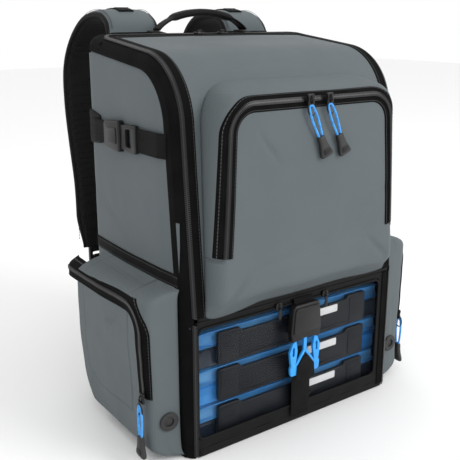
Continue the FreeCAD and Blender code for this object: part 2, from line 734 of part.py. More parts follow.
def strap_webbing():
    """Lower webbing from the ladder lock down to the tab at the bottom corner."""
    end_y, end_z = STRAP_LINE[-1]
    top_x = -(STRAP_INNER + STRAP_OUTER) / 2 + STRAP_FLARE * (end_z - STRAP_HINGE_Z)
    low_x, low_z = -130.0, 34.0
    line = [(end_y - 6.5, end_z - 9), (end_y - 14, end_z - 44), (28, 82), (10, 46), (5.4, low_z)]
    face = band_face(line, 1.8, -STRAP_W / 2)
    strip = face.extrude(V(STRAP_W, 0, 0))
    lean = FreeCAD.Matrix()
    height = end_z - 9 - low_z
    lean.A13 = (top_x - low_x) / height
    lean.A14 = low_x - lean.A13 * low_z
    return strip.transformGeometry(lean)


def strap_anchors():
    """Sewn patches under the strap tops and the triangular tabs at the bottom corners."""
    patch = box(-STRAP_OUTER, -STRAP_INNER, BACK_Y, BACK_Y + 1.4, 408, 419.5)
    tab_corners = [(-146, 8, 0), (-112, 8, 0), (-117, 33, 0), (-143, 33, 0)]
    tab = prism_y(tab_corners, BACK_Y, BACK_Y + 3)
    return group([patch, mirrored(patch), tab, mirrored(tab)])


HANDLE_Y0, HANDLE_Y1 = BACK_Y - 20.0, BACK_Y - 3.0
HANDLE_Z = 440.6
HANDLE_HALF = 68.0
HANDLE_T = 10.0
HANDLE_RISE = 25.0


def carry_handle():
    """Grab handle: a padded webbing arch standing on the yoke."""
    inner = HANDLE_HALF - HANDLE_T
    y = HANDLE_Y0
    over = Part.Arc(V(-HANDLE_HALF, y, HANDLE_Z), V(0, y, HANDLE_Z + HANDLE_RISE),
                    V(HANDLE_HALF, y, HANDLE_Z)).toShape()
    under = Part.Arc(V(inner, y, HANDLE_Z), V(0, y, HANDLE_Z + HANDLE_RISE - HANDLE_T),
                     V(-inner, y, HANDLE_Z)).toShape()
    feet = [Part.makeLine(V(HANDLE_HALF, y, HANDLE_Z), V(inner, y, HANDLE_Z)),
            Part.makeLine(V(-inner, y, HANDLE_Z), V(-HANDLE_HALF, y, HANDLE_Z))]
    face = Part.Face(Part.Wire([over, feet[0], under, feet[1]]))
    return face.extrude(V(0, HANDLE_Y1 - HANDLE_Y0, 0))


def lid_slider():
    """Main zip slider lying on the rear edge of the lid, its tab towards the back."""
    y = BACK_Y - LID_BACK - 4
    z = TOP_BACK_Z - LID_BACK * (TOP_BACK_Z - TOP_FRONT_Z) / (BODY_D - LEAN) + BAND + 0.9
    body = box(-23, -11, y - 6, y + 5, z, z + 3)
    body = body.makeFillet(1.0, body.Edges)
    bridge = box(-19, -15, y - 3, y + 3, z + 2.8, z + 5)
    return body.fuse(bridge).removeSplitter()


# ---- assembly ----------------------------------------------------------------------------
def pulls(nodes):
    front_left = front_pull(-13)
    front_right = front_pull(13)
    side_left = side_pull()
    for name, place in (("pocket_pull_left", front_left), ("pocket_pull_right", front_right)):
        nodes[name] = group(pull_hardware(*place))
        nodes[name.replace("pull", "cord")] = pull_cord(*place[:3])
    cord = pull_cord(*side_left[:3])
    nodes["side_pull_left"] = group(pull_hardware(*side_left))
    nodes["side_pull_right"] = mirrored(nodes["side_pull_left"])
    nodes["side_cord_left"] = cord
    nodes["side_cord_right"] = mirrored(cord)


def build():
    nodes = {}
    bands = fixed_zip_bands()
    flap_band = flap_zip_band()
    nodes["back_panel"] = back_panel()
    nodes["top_yoke"] = top_yoke()
    nodes["base_panel"] = base_panel()
    nodes["tray_shelf"] = tray_shelf()
    nodes["zip_tape_fixed"] = bands
    nodes["back_pads"] = back_pads()
    nodes["strap_anchors"] = strap_anchors()
    nodes["carry_handle"] = carry_handle()
    nodes["main_flap_shell"] = main_flap_shell()
    nodes["main_flap_zip_tape"] = flap_band
    pocket_band = pocket_zip_outer()
    nodes["front_pocket_gusset"] = front_pocket_gusset(flap_band)
    nodes["pocket_zip_outer"] = pocket_band
    nodes["front_pocket_panel"] = front_pocket_panel()
    nodes["pocket_zip_inner"] = pocket_zip_inner()
    nodes["pocket_slider_left"] = pocket_slider(-13)
    nodes["pocket_slider_right"] = pocket_slider(13)
    nodes["window_frame"] = window_frame()
    nodes["window_pane"] = window_pane()
    nodes["window_strap"] = window_strap()
    nodes["window_buckle_male"] = buckle_male()
    nodes["window_buckle_female"] = buckle_female()
    nodes["compression_webbing"] = group([compression_webbing(), mirrored(compression_webbing())])
    nodes["compression_males"] = group([compression_male(), mirrored(compression_male())])
    rings = [grommet(), mirrored(grommet())]
    nodes["pocket_grommets"] = group(rings)
    nodes["tray_labels"] = tray_labels()
    for k in range(TRAY_COUNT):
        z = TRAY_Z + k * TRAY_PITCH
        nodes["tray_base_%d" % (k + 1)] = tray_base(z)
        nodes["tray_lid_%d" % (k + 1)] = tray_lid(z)
        nodes["tray_latch_%d" % (k + 1)] = tray_latch(z)
    for name, shape in (("side_panel", side_panel()), ("side_pocket", side_pocket(bands)),
                        ("side_pocket_flap", side_pocket_flap()), ("side_slider", side_slider()),
                        ("door_slider", door_slider()), ("lid_slider", lid_slider()),
                        ("shoulder_strap", shoulder_strap()), ("strap_webbing", strap_webbing()),
                        ("compression_female", compression_female())):
        nodes[name + "_left"] = shape
        nodes[name + "_right"] = mirrored(shape)
    pulls(nodes)
    return nodes


def report(nodes):
    low = [1e9, 1e9, 1e9]
    high = [-1e9, -1e9, -1e9]
    for name, shape in sorted(nodes.items()):
        bounds = shape.BoundBox
        for axis, (a, b) in enumerate(((bounds.XMin, bounds.XMax), (bounds.YMin, bounds.YMax),
                                       (bounds.ZMin, bounds.ZMax))):
            low[axis] = min(low[axis], a)
            high[axis] = max(high[axis], b)
        print("%-22s solids %d valid %s volume %.0f" % (name, len(shape.Solids), shape.isValid(),
                                                       shape.Volume))
    print("nodes %d, box" % len(nodes), [round(v, 2) for v in low], [round(v, 2) for v in high])


os.makedirs("parts", exist_ok=True)
NODES = build()
report(NODES)
for node_name, node_shape in NODES.items():
    node_shape.exportStep("parts/%s.step" % node_name)
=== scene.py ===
"""Tackle backpack: cloth, zips, buckles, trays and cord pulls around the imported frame.

Lengths are millimetres until a mesh is made; the frame and Blender are in metres.
Left is -X. Whatever exists on both sides is made by one function with side = -1 or 1.
"""
import math

import bmesh
import bpy
from mathutils import Matrix, Vector, noise


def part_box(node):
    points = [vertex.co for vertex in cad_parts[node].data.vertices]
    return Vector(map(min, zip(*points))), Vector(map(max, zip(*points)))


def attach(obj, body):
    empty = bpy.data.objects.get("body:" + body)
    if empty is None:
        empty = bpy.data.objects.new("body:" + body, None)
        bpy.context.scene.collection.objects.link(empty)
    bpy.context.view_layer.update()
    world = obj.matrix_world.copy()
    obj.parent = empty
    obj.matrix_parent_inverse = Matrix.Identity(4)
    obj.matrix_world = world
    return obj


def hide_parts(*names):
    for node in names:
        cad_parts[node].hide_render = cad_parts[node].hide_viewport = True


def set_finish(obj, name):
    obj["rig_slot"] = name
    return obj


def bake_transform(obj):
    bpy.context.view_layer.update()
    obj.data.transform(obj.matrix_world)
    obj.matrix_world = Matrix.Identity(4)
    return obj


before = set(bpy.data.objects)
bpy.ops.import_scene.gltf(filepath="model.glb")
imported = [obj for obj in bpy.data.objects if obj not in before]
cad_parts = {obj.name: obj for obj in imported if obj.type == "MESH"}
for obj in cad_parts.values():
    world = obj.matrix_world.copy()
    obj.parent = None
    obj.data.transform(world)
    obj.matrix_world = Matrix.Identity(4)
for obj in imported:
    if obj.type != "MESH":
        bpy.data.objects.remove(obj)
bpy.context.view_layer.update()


def low(node):
    return [v * 1000 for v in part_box(node)[0]]


def high(node):
    return [v * 1000 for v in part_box(node)[1]]


# ---- driving sizes (mm) ------------------------------------------------------------------
FRONT = low("side_panel_left")[1]
BACK = high("side_panel_left")[1]
HALF = high("side_panel_right")[0]
EDGE = 16.0                 # rounding of the long side edges
FLAT = HALF - EDGE          # half-width of the flat front
DEPTH = 212.0               # front skin to back skin
TOP_FRONT, TOP_BACK = 415.0, 438.0      # where the lid's line meets the front and the back
LEAN = 22.0                 # how far the front leans back at the top
SHOULDER = 72.0             # rounding between the front and the lid
HINGE_Z = 158.3             # fold line of the clamshell flap
TAPE_UP = 0.9               # height of a sewn-on tape over the cloth
FLAP_BAND = 13.0            # width of the zip tape on the flap
SIDE_BAND, SIDE_BAND_TOP = 20.0, 17.0   # band on the side, up the front and along the lid
LID_BACK = 28.0             # the lid ends this far before the back
SPLIT = 141.7               # main zip line, measured around the body's edge
QUARTER = EDGE * math.pi / 2

DOOR_TOP = high("window_frame")[2]
DOOR_LOW = low("window_frame")[2]
PANE_LOW, PANE_HIGH = low("window_pane"), high("window_pane")

FACE_LOW, FACE_HIGH = (FRONT - 19.0, 184.0), (FRONT - 15.0, 382.0)      # (y, z) ends of the pocket's face
POCKET_LOW, POCKET_TOP = 163.0, 392.0
POCKET_HINGE = 223.0        # height of the line its panel folds on
POCKET_HALF_LOW, POCKET_HALF_TOP = 129.5, 121.5
ARCH_LOW_HALF, ARCH_TOP_HALF, ARCH_TOP, ARCH_R = 117.0, 108.0, 375.0, 30.0

SIDE_OUT = low("side_pocket_left")[0] + 1.0
SIDE_TOP = 190.0
SIDE_LOW = 5.0
SIDE_TAPER = 0.02           # a side pocket comes in by this much per mm going down
SIDE_HEEL = 52.0            # rounding of its lower rear corner
SIDE_ZIP_Y, SIDE_ZIP_REAR = FRONT + 31, BACK - 26
SIDE_ZIP_Z, SIDE_ZIP_LOW = 175.0, 78.0

STRAP_Z = 333.5             # height of the compression strap
STRAP_X = 83.0              # middle of a shoulder strap at its top
INSIDE = (0, -33, 200)      # a point inside the pack, which its outer faces look away from
TRAY_BOXES = [(low("tray_base_%d" % k), high("tray_lid_%d" % k)) for k in (1, 2, 3)]
SIDES = (("left", -1), ("right", 1))


# ---- lines -------------------------------------------------------------------------------
class Track:
    """Straight runs and tangent arcs through corners (a, b, radius), followed by length."""

    def __init__(self, corners):
        self.runs = []
        self.length = 0.0
        last = Vector(corners[0][:2])
        for i in range(1, len(corners) - 1):
            here = Vector(corners[i][:2])
            before = (Vector(corners[i - 1][:2]) - here).normalized()
            after = (Vector(corners[i + 1][:2]) - here).normalized()
            half = before.angle(after) / 2
            radius = corners[i][2]
            reach = radius / math.tan(half)
            self.add(last, -before, (here + before * reach - last).length, 0.0)
            if radius > 0:
                turn = 1 if (-before).x * after.y - (-before).y * after.x > 0 else -1
                sweep = math.pi - 2 * half
                self.add(here + before * reach, -before, radius * sweep, turn / radius)
            last = here + after * reach
        end = Vector(corners[-1][:2])
        self.add(last, (end - last).normalized(), (end - last).length, 0.0)

    def add(self, start, way, length, bend):
        self.runs.append((self.length, start, way, bend))
        self.length += length

    def at(self, s):
        """Point and direction at a length; past its ends the line goes straight on."""
        begin, start, way, bend = self.runs[0]
        for run in self.runs[1:]:
            if s >= run[0]:
                begin, start, way, bend = run
        t = s - begin
        if bend == 0:
            return start + way * t, way
        left = Vector((-way.y, way.x))
        angle = t * bend
        turned = way * math.sin(angle) + left * (1 - math.cos(angle))
        return start + turned / bend, way * math.cos(angle) + left * math.sin(angle)

    def find(self, axis, value, start=0.0):
        """Length at which a coordinate is first reached."""
        s = start
        sign = self.at(s)[0][axis] < value
        while s < self.length and (self.at(s)[0][axis] < value) == sign:
            s += 0.5
        return s


def steps(a, b, size):
    """Values from a to b, about size apart."""
    count = max(1, round(abs(b - a) / size))
    return [a + (b - a) * i / count for i in range(count + 1)]


def ease(t):
    t = min(max(t, 0.0), 1.0)
    return t * t * (3 - 2 * t)


def bump_at(x, centre, width):
    """A smooth hill of height 1."""
    t = min(abs(x - centre) / width, 1.0)
    return (1 - t * t) ** 2


def ripple(x, y, z, size, seed):
    """Smooth noise from -1 to 1, the same each run."""
    return noise.noise(Vector((x / size + seed, y / size - seed, z / size + 2 * seed)))


# ---- materials ---------------------------------------------------------------------------
def new_material(name, colour, roughness, specular=0.5, sheen=0.0, alpha=1.0):
    material = bpy.data.materials.new(name)
    material.use_nodes = True
    inputs = shader_of(material).inputs
    inputs["Base Color"].default_value = (*colour, 1)
    inputs["Roughness"].default_value = roughness
    inputs["Specular IOR Level"].default_value = specular
    inputs["Sheen Weight"].default_value = sheen
    inputs["Alpha"].default_value = alpha
    return material


def shader_of(material):
    return material.node_tree.nodes["Principled BSDF"]


def node(material, kind, **settings):
    made = material.node_tree.nodes.new(kind)
    for key, value in settings.items():
        setattr(made, key, value)
    return made


def link(material, out_socket, in_socket):
    material.node_tree.links.new(out_socket, in_socket)


def noise_value(material, scale, detail=4):
    where = node(material, "ShaderNodeTexCoord")
    grain = node(material, "ShaderNodeTexNoise")
    grain.inputs["Scale"].default_value = scale
    grain.inputs["Detail"].default_value = detail
    link(material, where.outputs["Object"], grain.inputs["Vector"])
    return grain.outputs["Fac"]


def colour_by(material, value, stops):
    """Base colour run by a value through two (position, colour) stops."""
    ramp = node(material, "ShaderNodeValToRGB")
    for element, (position, colour) in zip(ramp.color_ramp.elements, stops):
        element.position = position
        element.color = (*colour, 1)
    link(material, value, ramp.inputs["Fac"])
    link(material, ramp.outputs["Color"], shader_of(material).inputs["Base Color"])


def vary_colour(material, one, two, scale):
    """Patchy colour between two tones, as cloth and moulded parts have."""
    colour_by(material, noise_value(material, scale, 5), ((0.3, one), (0.7, two)))


def vary_roughness(material, lowest, highest, scale):
    spread = node(material, "ShaderNodeMapRange")
    spread.inputs["To Min"].default_value = lowest
    spread.inputs["To Max"].default_value = highest
    link(material, noise_value(material, scale, 3), spread.inputs["Value"])
    link(material, spread.outputs["Result"], shader_of(material).inputs["Roughness"])


def add_bump(material, height, distance):
    """height is an output socket; distance is in metres."""
    relief = node(material, "ShaderNodeBump")
    relief.inputs["Distance"].default_value = distance
    relief.inputs["Strength"].default_value = 1.0
    link(material, height, relief.inputs["Height"])
    link(material, relief.outputs["Normal"], shader_of(material).inputs["Normal"])


def weave_height(material, pitch):
    """Crossing threads along all three axes, with the pitch in metres."""
    where = node(material, "ShaderNodeTexCoord")
    scaled = node(material, "ShaderNodeVectorMath", operation="SCALE")
    scaled.inputs["Scale"].default_value = 2 * math.pi / pitch
    waves = node(material, "ShaderNodeVectorMath", operation="SINE")
    total = node(material, "ShaderNodeVectorMath", operation="DOT_PRODUCT")
    total.inputs[1].default_value = (0.5, 0.5, 0.5)
    link(material, where.outputs["Object"], scaled.inputs[0])
    link(material, scaled.outputs["Vector"], waves.inputs[0])
    link(material, waves.outputs["Vector"], total.inputs[0])
    return total.outputs["Value"]


def summed(material, one, two, share):
    """one + two * share."""
    add = node(material, "ShaderNodeMath", operation="MULTIPLY_ADD")
    add.inputs[1].default_value = share
    link(material, two, add.inputs[0])
    link(material, one, add.inputs[2])
    return add.outputs["Value"]


def rib_height(material, axis, pitch, slant=0.0):
    """Ribs in the mesh's own layout: axis 0 runs along a strip, 1 across it."""
    layout = node(material, "ShaderNodeUVMap")
    split = node(material, "ShaderNodeSeparateXYZ")
    link(material, layout.outputs["UV"], split.inputs[0])
    zigzag = node(material, "ShaderNodeMath", operation="PINGPONG")
    zigzag.inputs[1].default_value = 0.003
    link(material, split.outputs[1 - axis], zigzag.inputs[0])
    place = summed(material, split.outputs[axis], zigzag.outputs["Value"], slant)
    scaled = node(material, "ShaderNodeMath", operation="MULTIPLY")
    scaled.inputs[1].default_value = 2 * math.pi / pitch
    link(material, place, scaled.inputs[0])
    wave = node(material, "ShaderNodeMath", operation="SINE")
    link(material, scaled.outputs["Value"], wave.inputs[0])
    return wave.outputs["Value"]


def coated_cloth(name, one, two, roughness, sheen):
    """Smooth coated polyester: a fine weave under a matt film, with soft mottling."""
    material = new_material(name, one, roughness, specular=0.16, sheen=sheen)
    vary_colour(material, one, two, 9)
    vary_roughness(material, roughness - 0.07, roughness + 0.07, 30)
    height = summed(material, weave_height(material, 0.0011), noise_value(material, 900), 0.8)
    add_bump(material, height, 0.00009)
    return material


def webbing(name, one, two):
    """Black webbing with a herringbone of slanted ribs."""
    material = new_material(name, one, 0.7, specular=0.1)
    vary_colour(material, one, two, 60)
    height = summed(material, rib_height(material, 0, 0.0018, 1.0), noise_value(material, 1500), 0.5)
    add_bump(material, height, 0.00022)
    return material


def zip_tape():
    """Woven tape with fine ribs along the coil."""
    material = new_material("zip_tape", (0.003, 0.003, 0.003), 0.7, specular=0.05)
    vary_colour(material, (0.003, 0.003, 0.003), (0.006, 0.006, 0.006), 40)
    height = summed(material, rib_height(material, 1, 0.0013), noise_value(material, 1800), 0.4)
    add_bump(material, height, 0.00016)
    return material


def spacer_mesh():
    """Padded mesh: small round holes in a knitted face, with painted shade darkening the holes."""
    material = new_material("mesh_pad", (0.010, 0.010, 0.011), 0.85, specular=0.1, sheen=0.02)
    where = node(material, "ShaderNodeTexCoord")
    cells = node(material, "ShaderNodeTexVoronoi")
    cells.inputs["Scale"].default_value = 300
    cells.inputs["Randomness"].default_value = 0.15
    link(material, where.outputs["Object"], cells.inputs["Vector"])
    # painted shade: the colour goes darker towards each hole's centre, where the mesh dips
    colour_by(material, cells.outputs["Distance"],
              ((0.15, (0.004, 0.004, 0.004)), (0.4, (0.013, 0.013, 0.014))))
    add_bump(material, cells.outputs["Distance"], 0.0006)
    return material


def plastic(name, one, two, roughness, specular=0.5, alpha=1.0):
    material = new_material(name, one, roughness, specular=specular, alpha=alpha)
    vary_colour(material, one, two, 25)
    vary_roughness(material, roughness * 0.8, roughness * 1.25, 45)
    add_bump(material, noise_value(material, 700), 0.00004)
    return material


def braided_cord():
    material = new_material("cord_blue", (0.035, 0.33, 0.82), 0.6, specular=0.35, sheen=0.2)
    vary_colour(material, (0.02, 0.24, 0.72), (0.07, 0.42, 0.92), 350)
    add_bump(material, weave_height(material, 0.0009), 0.00015)
    return material


# finish: darker tone, lighter tone, roughness, sheen
COATED = {
    "grey_fabric": ((0.094, 0.112, 0.119), (0.106, 0.125, 0.132), 0.55, 0.02),
    "lining": ((0.012, 0.016, 0.028), (0.018, 0.023, 0.038), 0.62, 0.1),
    "black_fabric": ((0.004, 0.004, 0.004), (0.006, 0.006, 0.006), 0.65, 0.0),
}
# finish: darker tone, lighter tone, roughness, specular, alpha
MOULDED = {
    "slider_black": ((0.006, 0.006, 0.006), (0.012, 0.012, 0.012), 0.36, 0.25),
    "coil_black": ((0.008, 0.008, 0.009), (0.014, 0.014, 0.015), 0.34),
    "buckle_black": ((0.006, 0.006, 0.006), (0.009, 0.009, 0.009), 0.42, 0.3),
    "buckle_blue": ((0.02, 0.29, 0.78), (0.03, 0.36, 0.86), 0.36),
    "grip_black": ((0.012, 0.012, 0.012), (0.02, 0.02, 0.02), 0.55),
    "clear_window": ((0.010, 0.014, 0.022), (0.014, 0.020, 0.030), 0.06, 0.12, 0.10),
    "tray_smoke": ((0.012, 0.020, 0.036), (0.020, 0.032, 0.055), 0.2, 0.5, 0.93),
    "tray_blue": ((0.02, 0.22, 0.66), (0.05, 0.32, 0.80), 0.18, 0.5, 0.92),
    "tray_clear": ((0.06, 0.30, 0.70), (0.16, 0.46, 0.86), 0.14, 0.5, 0.72),
    "latch_black": ((0.008, 0.009, 0.011), (0.013, 0.014, 0.016), 0.3, 0.25),
    "label_white": ((0.82, 0.83, 0.84), (0.88, 0.88, 0.89), 0.5),
    "thread": ((0.03, 0.03, 0.032), (0.05, 0.05, 0.052), 0.7),
}
MATERIALS = {
    "webbing_black": webbing("webbing_black", (0.005, 0.005, 0.005), (0.009, 0.009, 0.009)),
    "zip_tape": zip_tape(),
    "mesh_pad": spacer_mesh(),
    "cord_blue": braided_cord(),
}
MATERIALS.update({name: coated_cloth(name, *look) for name, look in COATED.items()})
MATERIALS.update({name: plastic(name, *look) for name, look in MOULDED.items()})
FINISH_SLOT = {"webbing_black": "black_fabric", "coil_black": "zip_tape", "thread": "black_fabric",
               "tray_clear": "tray_blue"}


# ---- mesh making -------------------------------------------------------------------------
def new_object(name, data):
    made = bpy.data.objects.new(name, data)
    bpy.context.collection.objects.link(made)
    return made


def face_outward(made):
    """Turn the faces of a closed piece to look out of it."""
    work = bmesh.new()
    work.from_mesh(made.data)
    bmesh.ops.recalc_face_normals(work, faces=work.faces)
    work.to_mesh(made.data)
    work.free()


def grid_faces(tall, wide):
    """Quads between neighbours of a grid of points listed row by row."""
    return [(i * wide + j, i * wide + j + 1, (i + 1) * wide + j + 1, (i + 1) * wide + j)
            for i in range(tall - 1) for j in range(wide - 1)]


def piece(name, verts, faces, finish, uvs=None, smooth=True, inside=None):
    """A mesh object from points in mm; inside is a point that the faces look away from."""
    mesh = bpy.data.meshes.new(name)
    mesh.from_pydata([Vector(v) * 0.001 for v in verts], [], faces)
    if uvs is not None:
        layer = mesh.uv_layers.new(name="UVMap")
        for loop in mesh.loops:
            u, v = uvs[loop.vertex_index]
            layer.data[loop.index].uv = (u * 0.001, v * 0.001)
    mesh.materials.append(MATERIALS[finish])
    made = new_object(name, mesh)
    if inside is not None:
        centre = Vector(inside) * 0.001
        outward = sum((f.center - centre).normalized().dot(f.normal) * f.area for f in mesh.polygons)
        if outward < 0:
            mesh.flip_normals()
    for face in mesh.polygons:
        face.use_smooth = smooth
    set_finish(made, FINISH_SLOT.get(finish, finish))
    return made


def apply_modifiers(made):
    """Turn what the modifiers make into the piece's own mesh."""
    bpy.context.view_layer.update()
    graph = bpy.context.evaluated_depsgraph_get()
    mesh = bpy.data.meshes.new_from_object(made.evaluated_get(graph))
    made.modifiers.clear()
    made.data = mesh
    return made


def thicken(made, thickness, lining=None):
    """Give a cloth its thickness behind the drawn face, with a lining material inside."""
    solid = made.modifiers.new("thickness", "SOLIDIFY")
    solid.thickness = thickness * 0.001
    solid.offset = -1
    if lining:
        made.data.materials.append(MATERIALS[lining])
        solid.material_offset = 1
    return apply_modifiers(made)


def smoothed(made):
    surface = made.modifiers.new("smooth", "SUBSURF")
    surface.levels = 1
    surface.render_levels = 1
    return apply_modifiers(made)


def bevelled(made, width, segments):
    edge = made.modifiers.new("bevel", "BEVEL")
    edge.width = width * 0.001
    edge.segments = segments
    edge.limit_method = "ANGLE"
    edge.angle_limit = math.radians(35)
    edge.harden_normals = False
    return apply_modifiers(made)


def grid(rows, columns, place, keep=None):
    """Verts, faces and layout of a grid; keep(row, column) says which cells stay."""
    verts = [place(r, c) for r in rows for c in columns]
    uvs = [(r, c) for r in rows for c in columns]
    wide = len(columns)
    faces = []
    for i in range(len(rows) - 1):
        for j in range(wide - 1):
            middle = ((rows[i] + rows[i + 1]) / 2, (columns[j] + columns[j + 1]) / 2)
            if keep is None or keep(*middle):
                a = i * wide + j
                faces.append((a, a + 1, a + wide + 1, a + wide))
    return verts, faces, uvs


def cloth(name, rows, columns, place, finish, thickness, lining=None, keep=None, inside=INSIDE):
    verts, faces, uvs = grid(rows, columns, place, keep)
    made = piece(name, verts, faces, finish, uvs, inside=inside)
    drop_loose(made)
    return thicken(made, thickness, lining)


def drop_loose(made):
    work = bmesh.new()
    work.from_mesh(made.data)
    loose = [v for v in work.verts if not v.link_faces]
    bmesh.ops.delete(work, geom=loose, context="VERTS")
    work.to_mesh(made.data)
    work.free()


def strip(name, guide, surface, columns, finish, thickness=0.8, span=None, size=4.0, inside=INSIDE):
    """A tape along a guide on a surface; columns are (offset across, lift)."""
    first, last = span or (0.0, guide.length)
    rows = steps(first, last, size)
    verts, uvs = [], []
    for s in rows:
        spot, way = guide.at(s)
        across = Vector((-way.y, way.x))
        for offset, lift in columns:
            here = spot + across * offset
            verts.append(surface(here.x, here.y, lift))
            uvs.append((s, offset))
    made = piece(name, verts, grid_faces(len(rows), len(columns)), finish, uvs, inside=inside)
    return thicken(made, thickness)


def tape_columns(near, far, lift=TAPE_UP, ridge=None):
    """Cross-section of a sewn tape from its coil edge to its outer edge."""
    way = 1 if far > near else -1
    inner = [(near, lift * 0.5), (near + way * 0.8, lift)]
    outer = [(far - way * 2.2, lift), (far - way * 0.9, lift * 1.25), (far, lift * 0.35)]
    between = [(o, lift) for o in steps(near + way * 0.8, far - way * 2.2, 3.0)[1:-1]]
    if ridge:
        between = [(o, lift + 0.5 * bump_at(abs(o), ridge, 1.6)) for o, lift in between]
    return inner + between + outer


BLOCK_FACES = [(0, 1, 3, 2), (4, 6, 7, 5), (0, 4, 5, 1), (2, 3, 7, 6), (0, 2, 6, 4), (1, 5, 7, 3)]


def small_blocks(name, blocks, finish):
    """Many small eight-cornered blocks as one piece."""
    verts, faces = [], []
    for corners in blocks:
        base = len(verts)
        verts.extend(corners)
        faces.extend(tuple(base + i for i in face) for face in BLOCK_FACES)
    made = piece(name, verts, faces, finish, smooth=False)
    face_outward(made)
    return made


COIL_PITCH = 2.0
STITCH = 3.6


def coil_blocks(guide, surface, side, lift, span=None):
    """Teeth of one half of a zip, each a small tapered block across the coil line."""
    first, last = span or (0.0, guide.length)
    blocks = []
    shift = 0.0 if side > 0 else COIL_PITCH / 2
    for k in range(int((last - first - COIL_PITCH) / COIL_PITCH)):
        s = first + k * COIL_PITCH + shift
        corners = []
        for run, half in ((0.0, 0.42), (1.0, 0.62)):
            for offset in (-0.5 * side, 2.3 * side):
                for end in (-1, 1):
                    spot, way = guide.at(s + COIL_PITCH / 2 + end * half * (1.0 if run else 1.15))
                    here = spot + Vector((-way.y, way.x)) * offset
                    corners.append(surface(here.x, here.y, lift + 1.1 * (1 - run) + 0.02))
        blocks.append(corners)
    return blocks


def stitch_blocks(guide, surface, offset, lift, span=None):
    """Thread showing between needle holes along a guide."""
    first, last = span or (0.0, guide.length)
    blocks = []
    for k in range(int((last - first) / STITCH)):
        s = first + (k + 0.5) * STITCH
        corners = []
        for up in (0.35, -0.1):
            for across in (-0.28, 0.28):
                for end in (-1, 1):
                    spot, way = guide.at(s + end * STITCH * (0.30 if up > 0 else 0.40))
                    here = spot + Vector((-way.y, way.x)) * (offset + across)
                    corners.append(surface(here.x, here.y, lift + up))
        blocks.append(corners)
    return blocks


def rounded(corners, size=1.5):
    """Closed outline with rounded corners as a list of points; corners are (a, b, radius)."""
    points = []
    count = len(corners)
    for i in range(count):
        here = Vector(corners[i][:2])
        before = (Vector(corners[i - 1][:2]) - here).normalized()
        after = (Vector(corners[(i + 1) % count][:2]) - here).normalized()
        radius = corners[i][2]
        if radius <= 0:
            points.append(here)
            continue
        half = before.angle(after) / 2
        reach = radius / math.tan(half)
        centre = here + (before + after).normalized() * (radius / math.sin(half))
        start = here + before * reach - centre
        turn = 1 if (-before).x * after.y - (-before).y * after.x > 0 else -1
        sweep = (math.pi - 2 * half) * turn
        bits = max(2, round(abs(sweep) * radius / size))
        for k in range(bits + 1):
            points.append(centre + Matrix.Rotation(sweep * k / bits, 2) @ start)
    return points


def box_outline(a0, b0, a1, b1, radius, size=1.5):
    return rounded([(a0, b0, radius), (a1, b0, radius), (a1, b1, radius), (a0, b1, radius)], size)


def circle(radius, step):
    """Points of a circle, a given angle apart."""
    return [(radius * math.cos(a), radius * math.sin(a)) for a in steps(0, 2 * math.pi, step)[:-1]]


def squarish(angle, wide_power, tall_power):
    """Point of a rounded rectangle of half-size 1; smaller powers make it squarer."""
    c, s = math.cos(angle), math.sin(angle)
    return math.copysign(abs(c) ** wide_power, c), math.copysign(abs(s) ** tall_power, s)


def loft(name, rings, finish, closed=False):
    """Skin through rings of points that all have the same count."""
    count = len(rings[0])
    verts = [p for ring in rings for p in ring]
    faces = []
    levels = len(rings) if closed else len(rings) - 1
    for i in range(levels):
        for j in range(count):
            a, b = i * count + j, i * count + (j + 1) % count
            up = ((i + 1) % len(rings)) * count
            faces.append((a, b, up + (j + 1) % count, up + j))
    if not closed:
        faces.append(tuple(reversed(range(count))))
        faces.append(tuple((len(rings) - 1) * count + j for j in range(count)))
    made = piece(name, verts, faces, finish)
    face_outward(made)
    return made


def plate(name, outline, place, lowest, highest, finish, bevel=0.8, holes=(), segments=2):
    """A flat part: an outline with holes, pulled from lowest to highest, edges rounded."""
    work = bmesh.new()
    for loop_points in (outline, *holes):
        ring = [work.verts.new(place(p[0], p[1], lowest) * 0.001) for p in loop_points]
        for i in range(len(ring)):
            work.edges.new((ring[i - 1], ring[i]))
    bmesh.ops.triangle_fill(work, edges=work.edges[:], use_beauty=True)
    bmesh.ops.dissolve_limit(work, angle_limit=0.01, verts=work.verts[:], edges=work.edges[:])
    way = (place(0, 0, highest) - place(0, 0, lowest)) * 0.001
    made = bmesh.ops.extrude_face_region(work, geom=work.faces[:])
    moved = [v for v in made["geom"] if isinstance(v, bmesh.types.BMVert)]
    bmesh.ops.translate(work, verts=moved, vec=way)
    bmesh.ops.recalc_face_normals(work, faces=work.faces)
    mesh = bpy.data.meshes.new(name)
    work.to_mesh(mesh)
    work.free()
    mesh.materials.append(MATERIALS[finish])
    part = new_object(name, mesh)
    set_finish(part, FINISH_SLOT.get(finish, finish))
    if bevel:
        bevelled(part, bevel, segments)
    for face in part.data.polygons:
        face.use_smooth = True
    sharpen(part)
    return part


def sharpen(made, angle=32):
    """Smooth shading that still breaks at corners."""
    work = bmesh.new()
    work.from_mesh(made.data)
    limit = math.radians(angle)
    for edge in work.edges:
        if len(edge.link_faces) == 2 and edge.calc_face_angle(0) > limit:
            edge.smooth = False
    work.to_mesh(made.data)
    work.free()


def joined(name, parts):
    """Several objects of one body and slot made into one."""
    work = bmesh.new()
    finishes = []
    for part in parts:
        start = len(work.faces)
        work.from_mesh(part.data)
        work.faces.ensure_lookup_table()
        for face in work.faces[start:]:
            material = part.data.materials[face.material_index]
            if material not in finishes:
                finishes.append(material)
            face.material_index = finishes.index(material)
    mesh = bpy.data.meshes.new(name)
    work.to_mesh(mesh)
    work.free()
    for material in finishes:
        mesh.materials.append(material)
    whole = new_object(name, mesh)
    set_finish(whole, parts[0]["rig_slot"])
    for part in parts:
        bpy.data.objects.remove(part)
    return whole


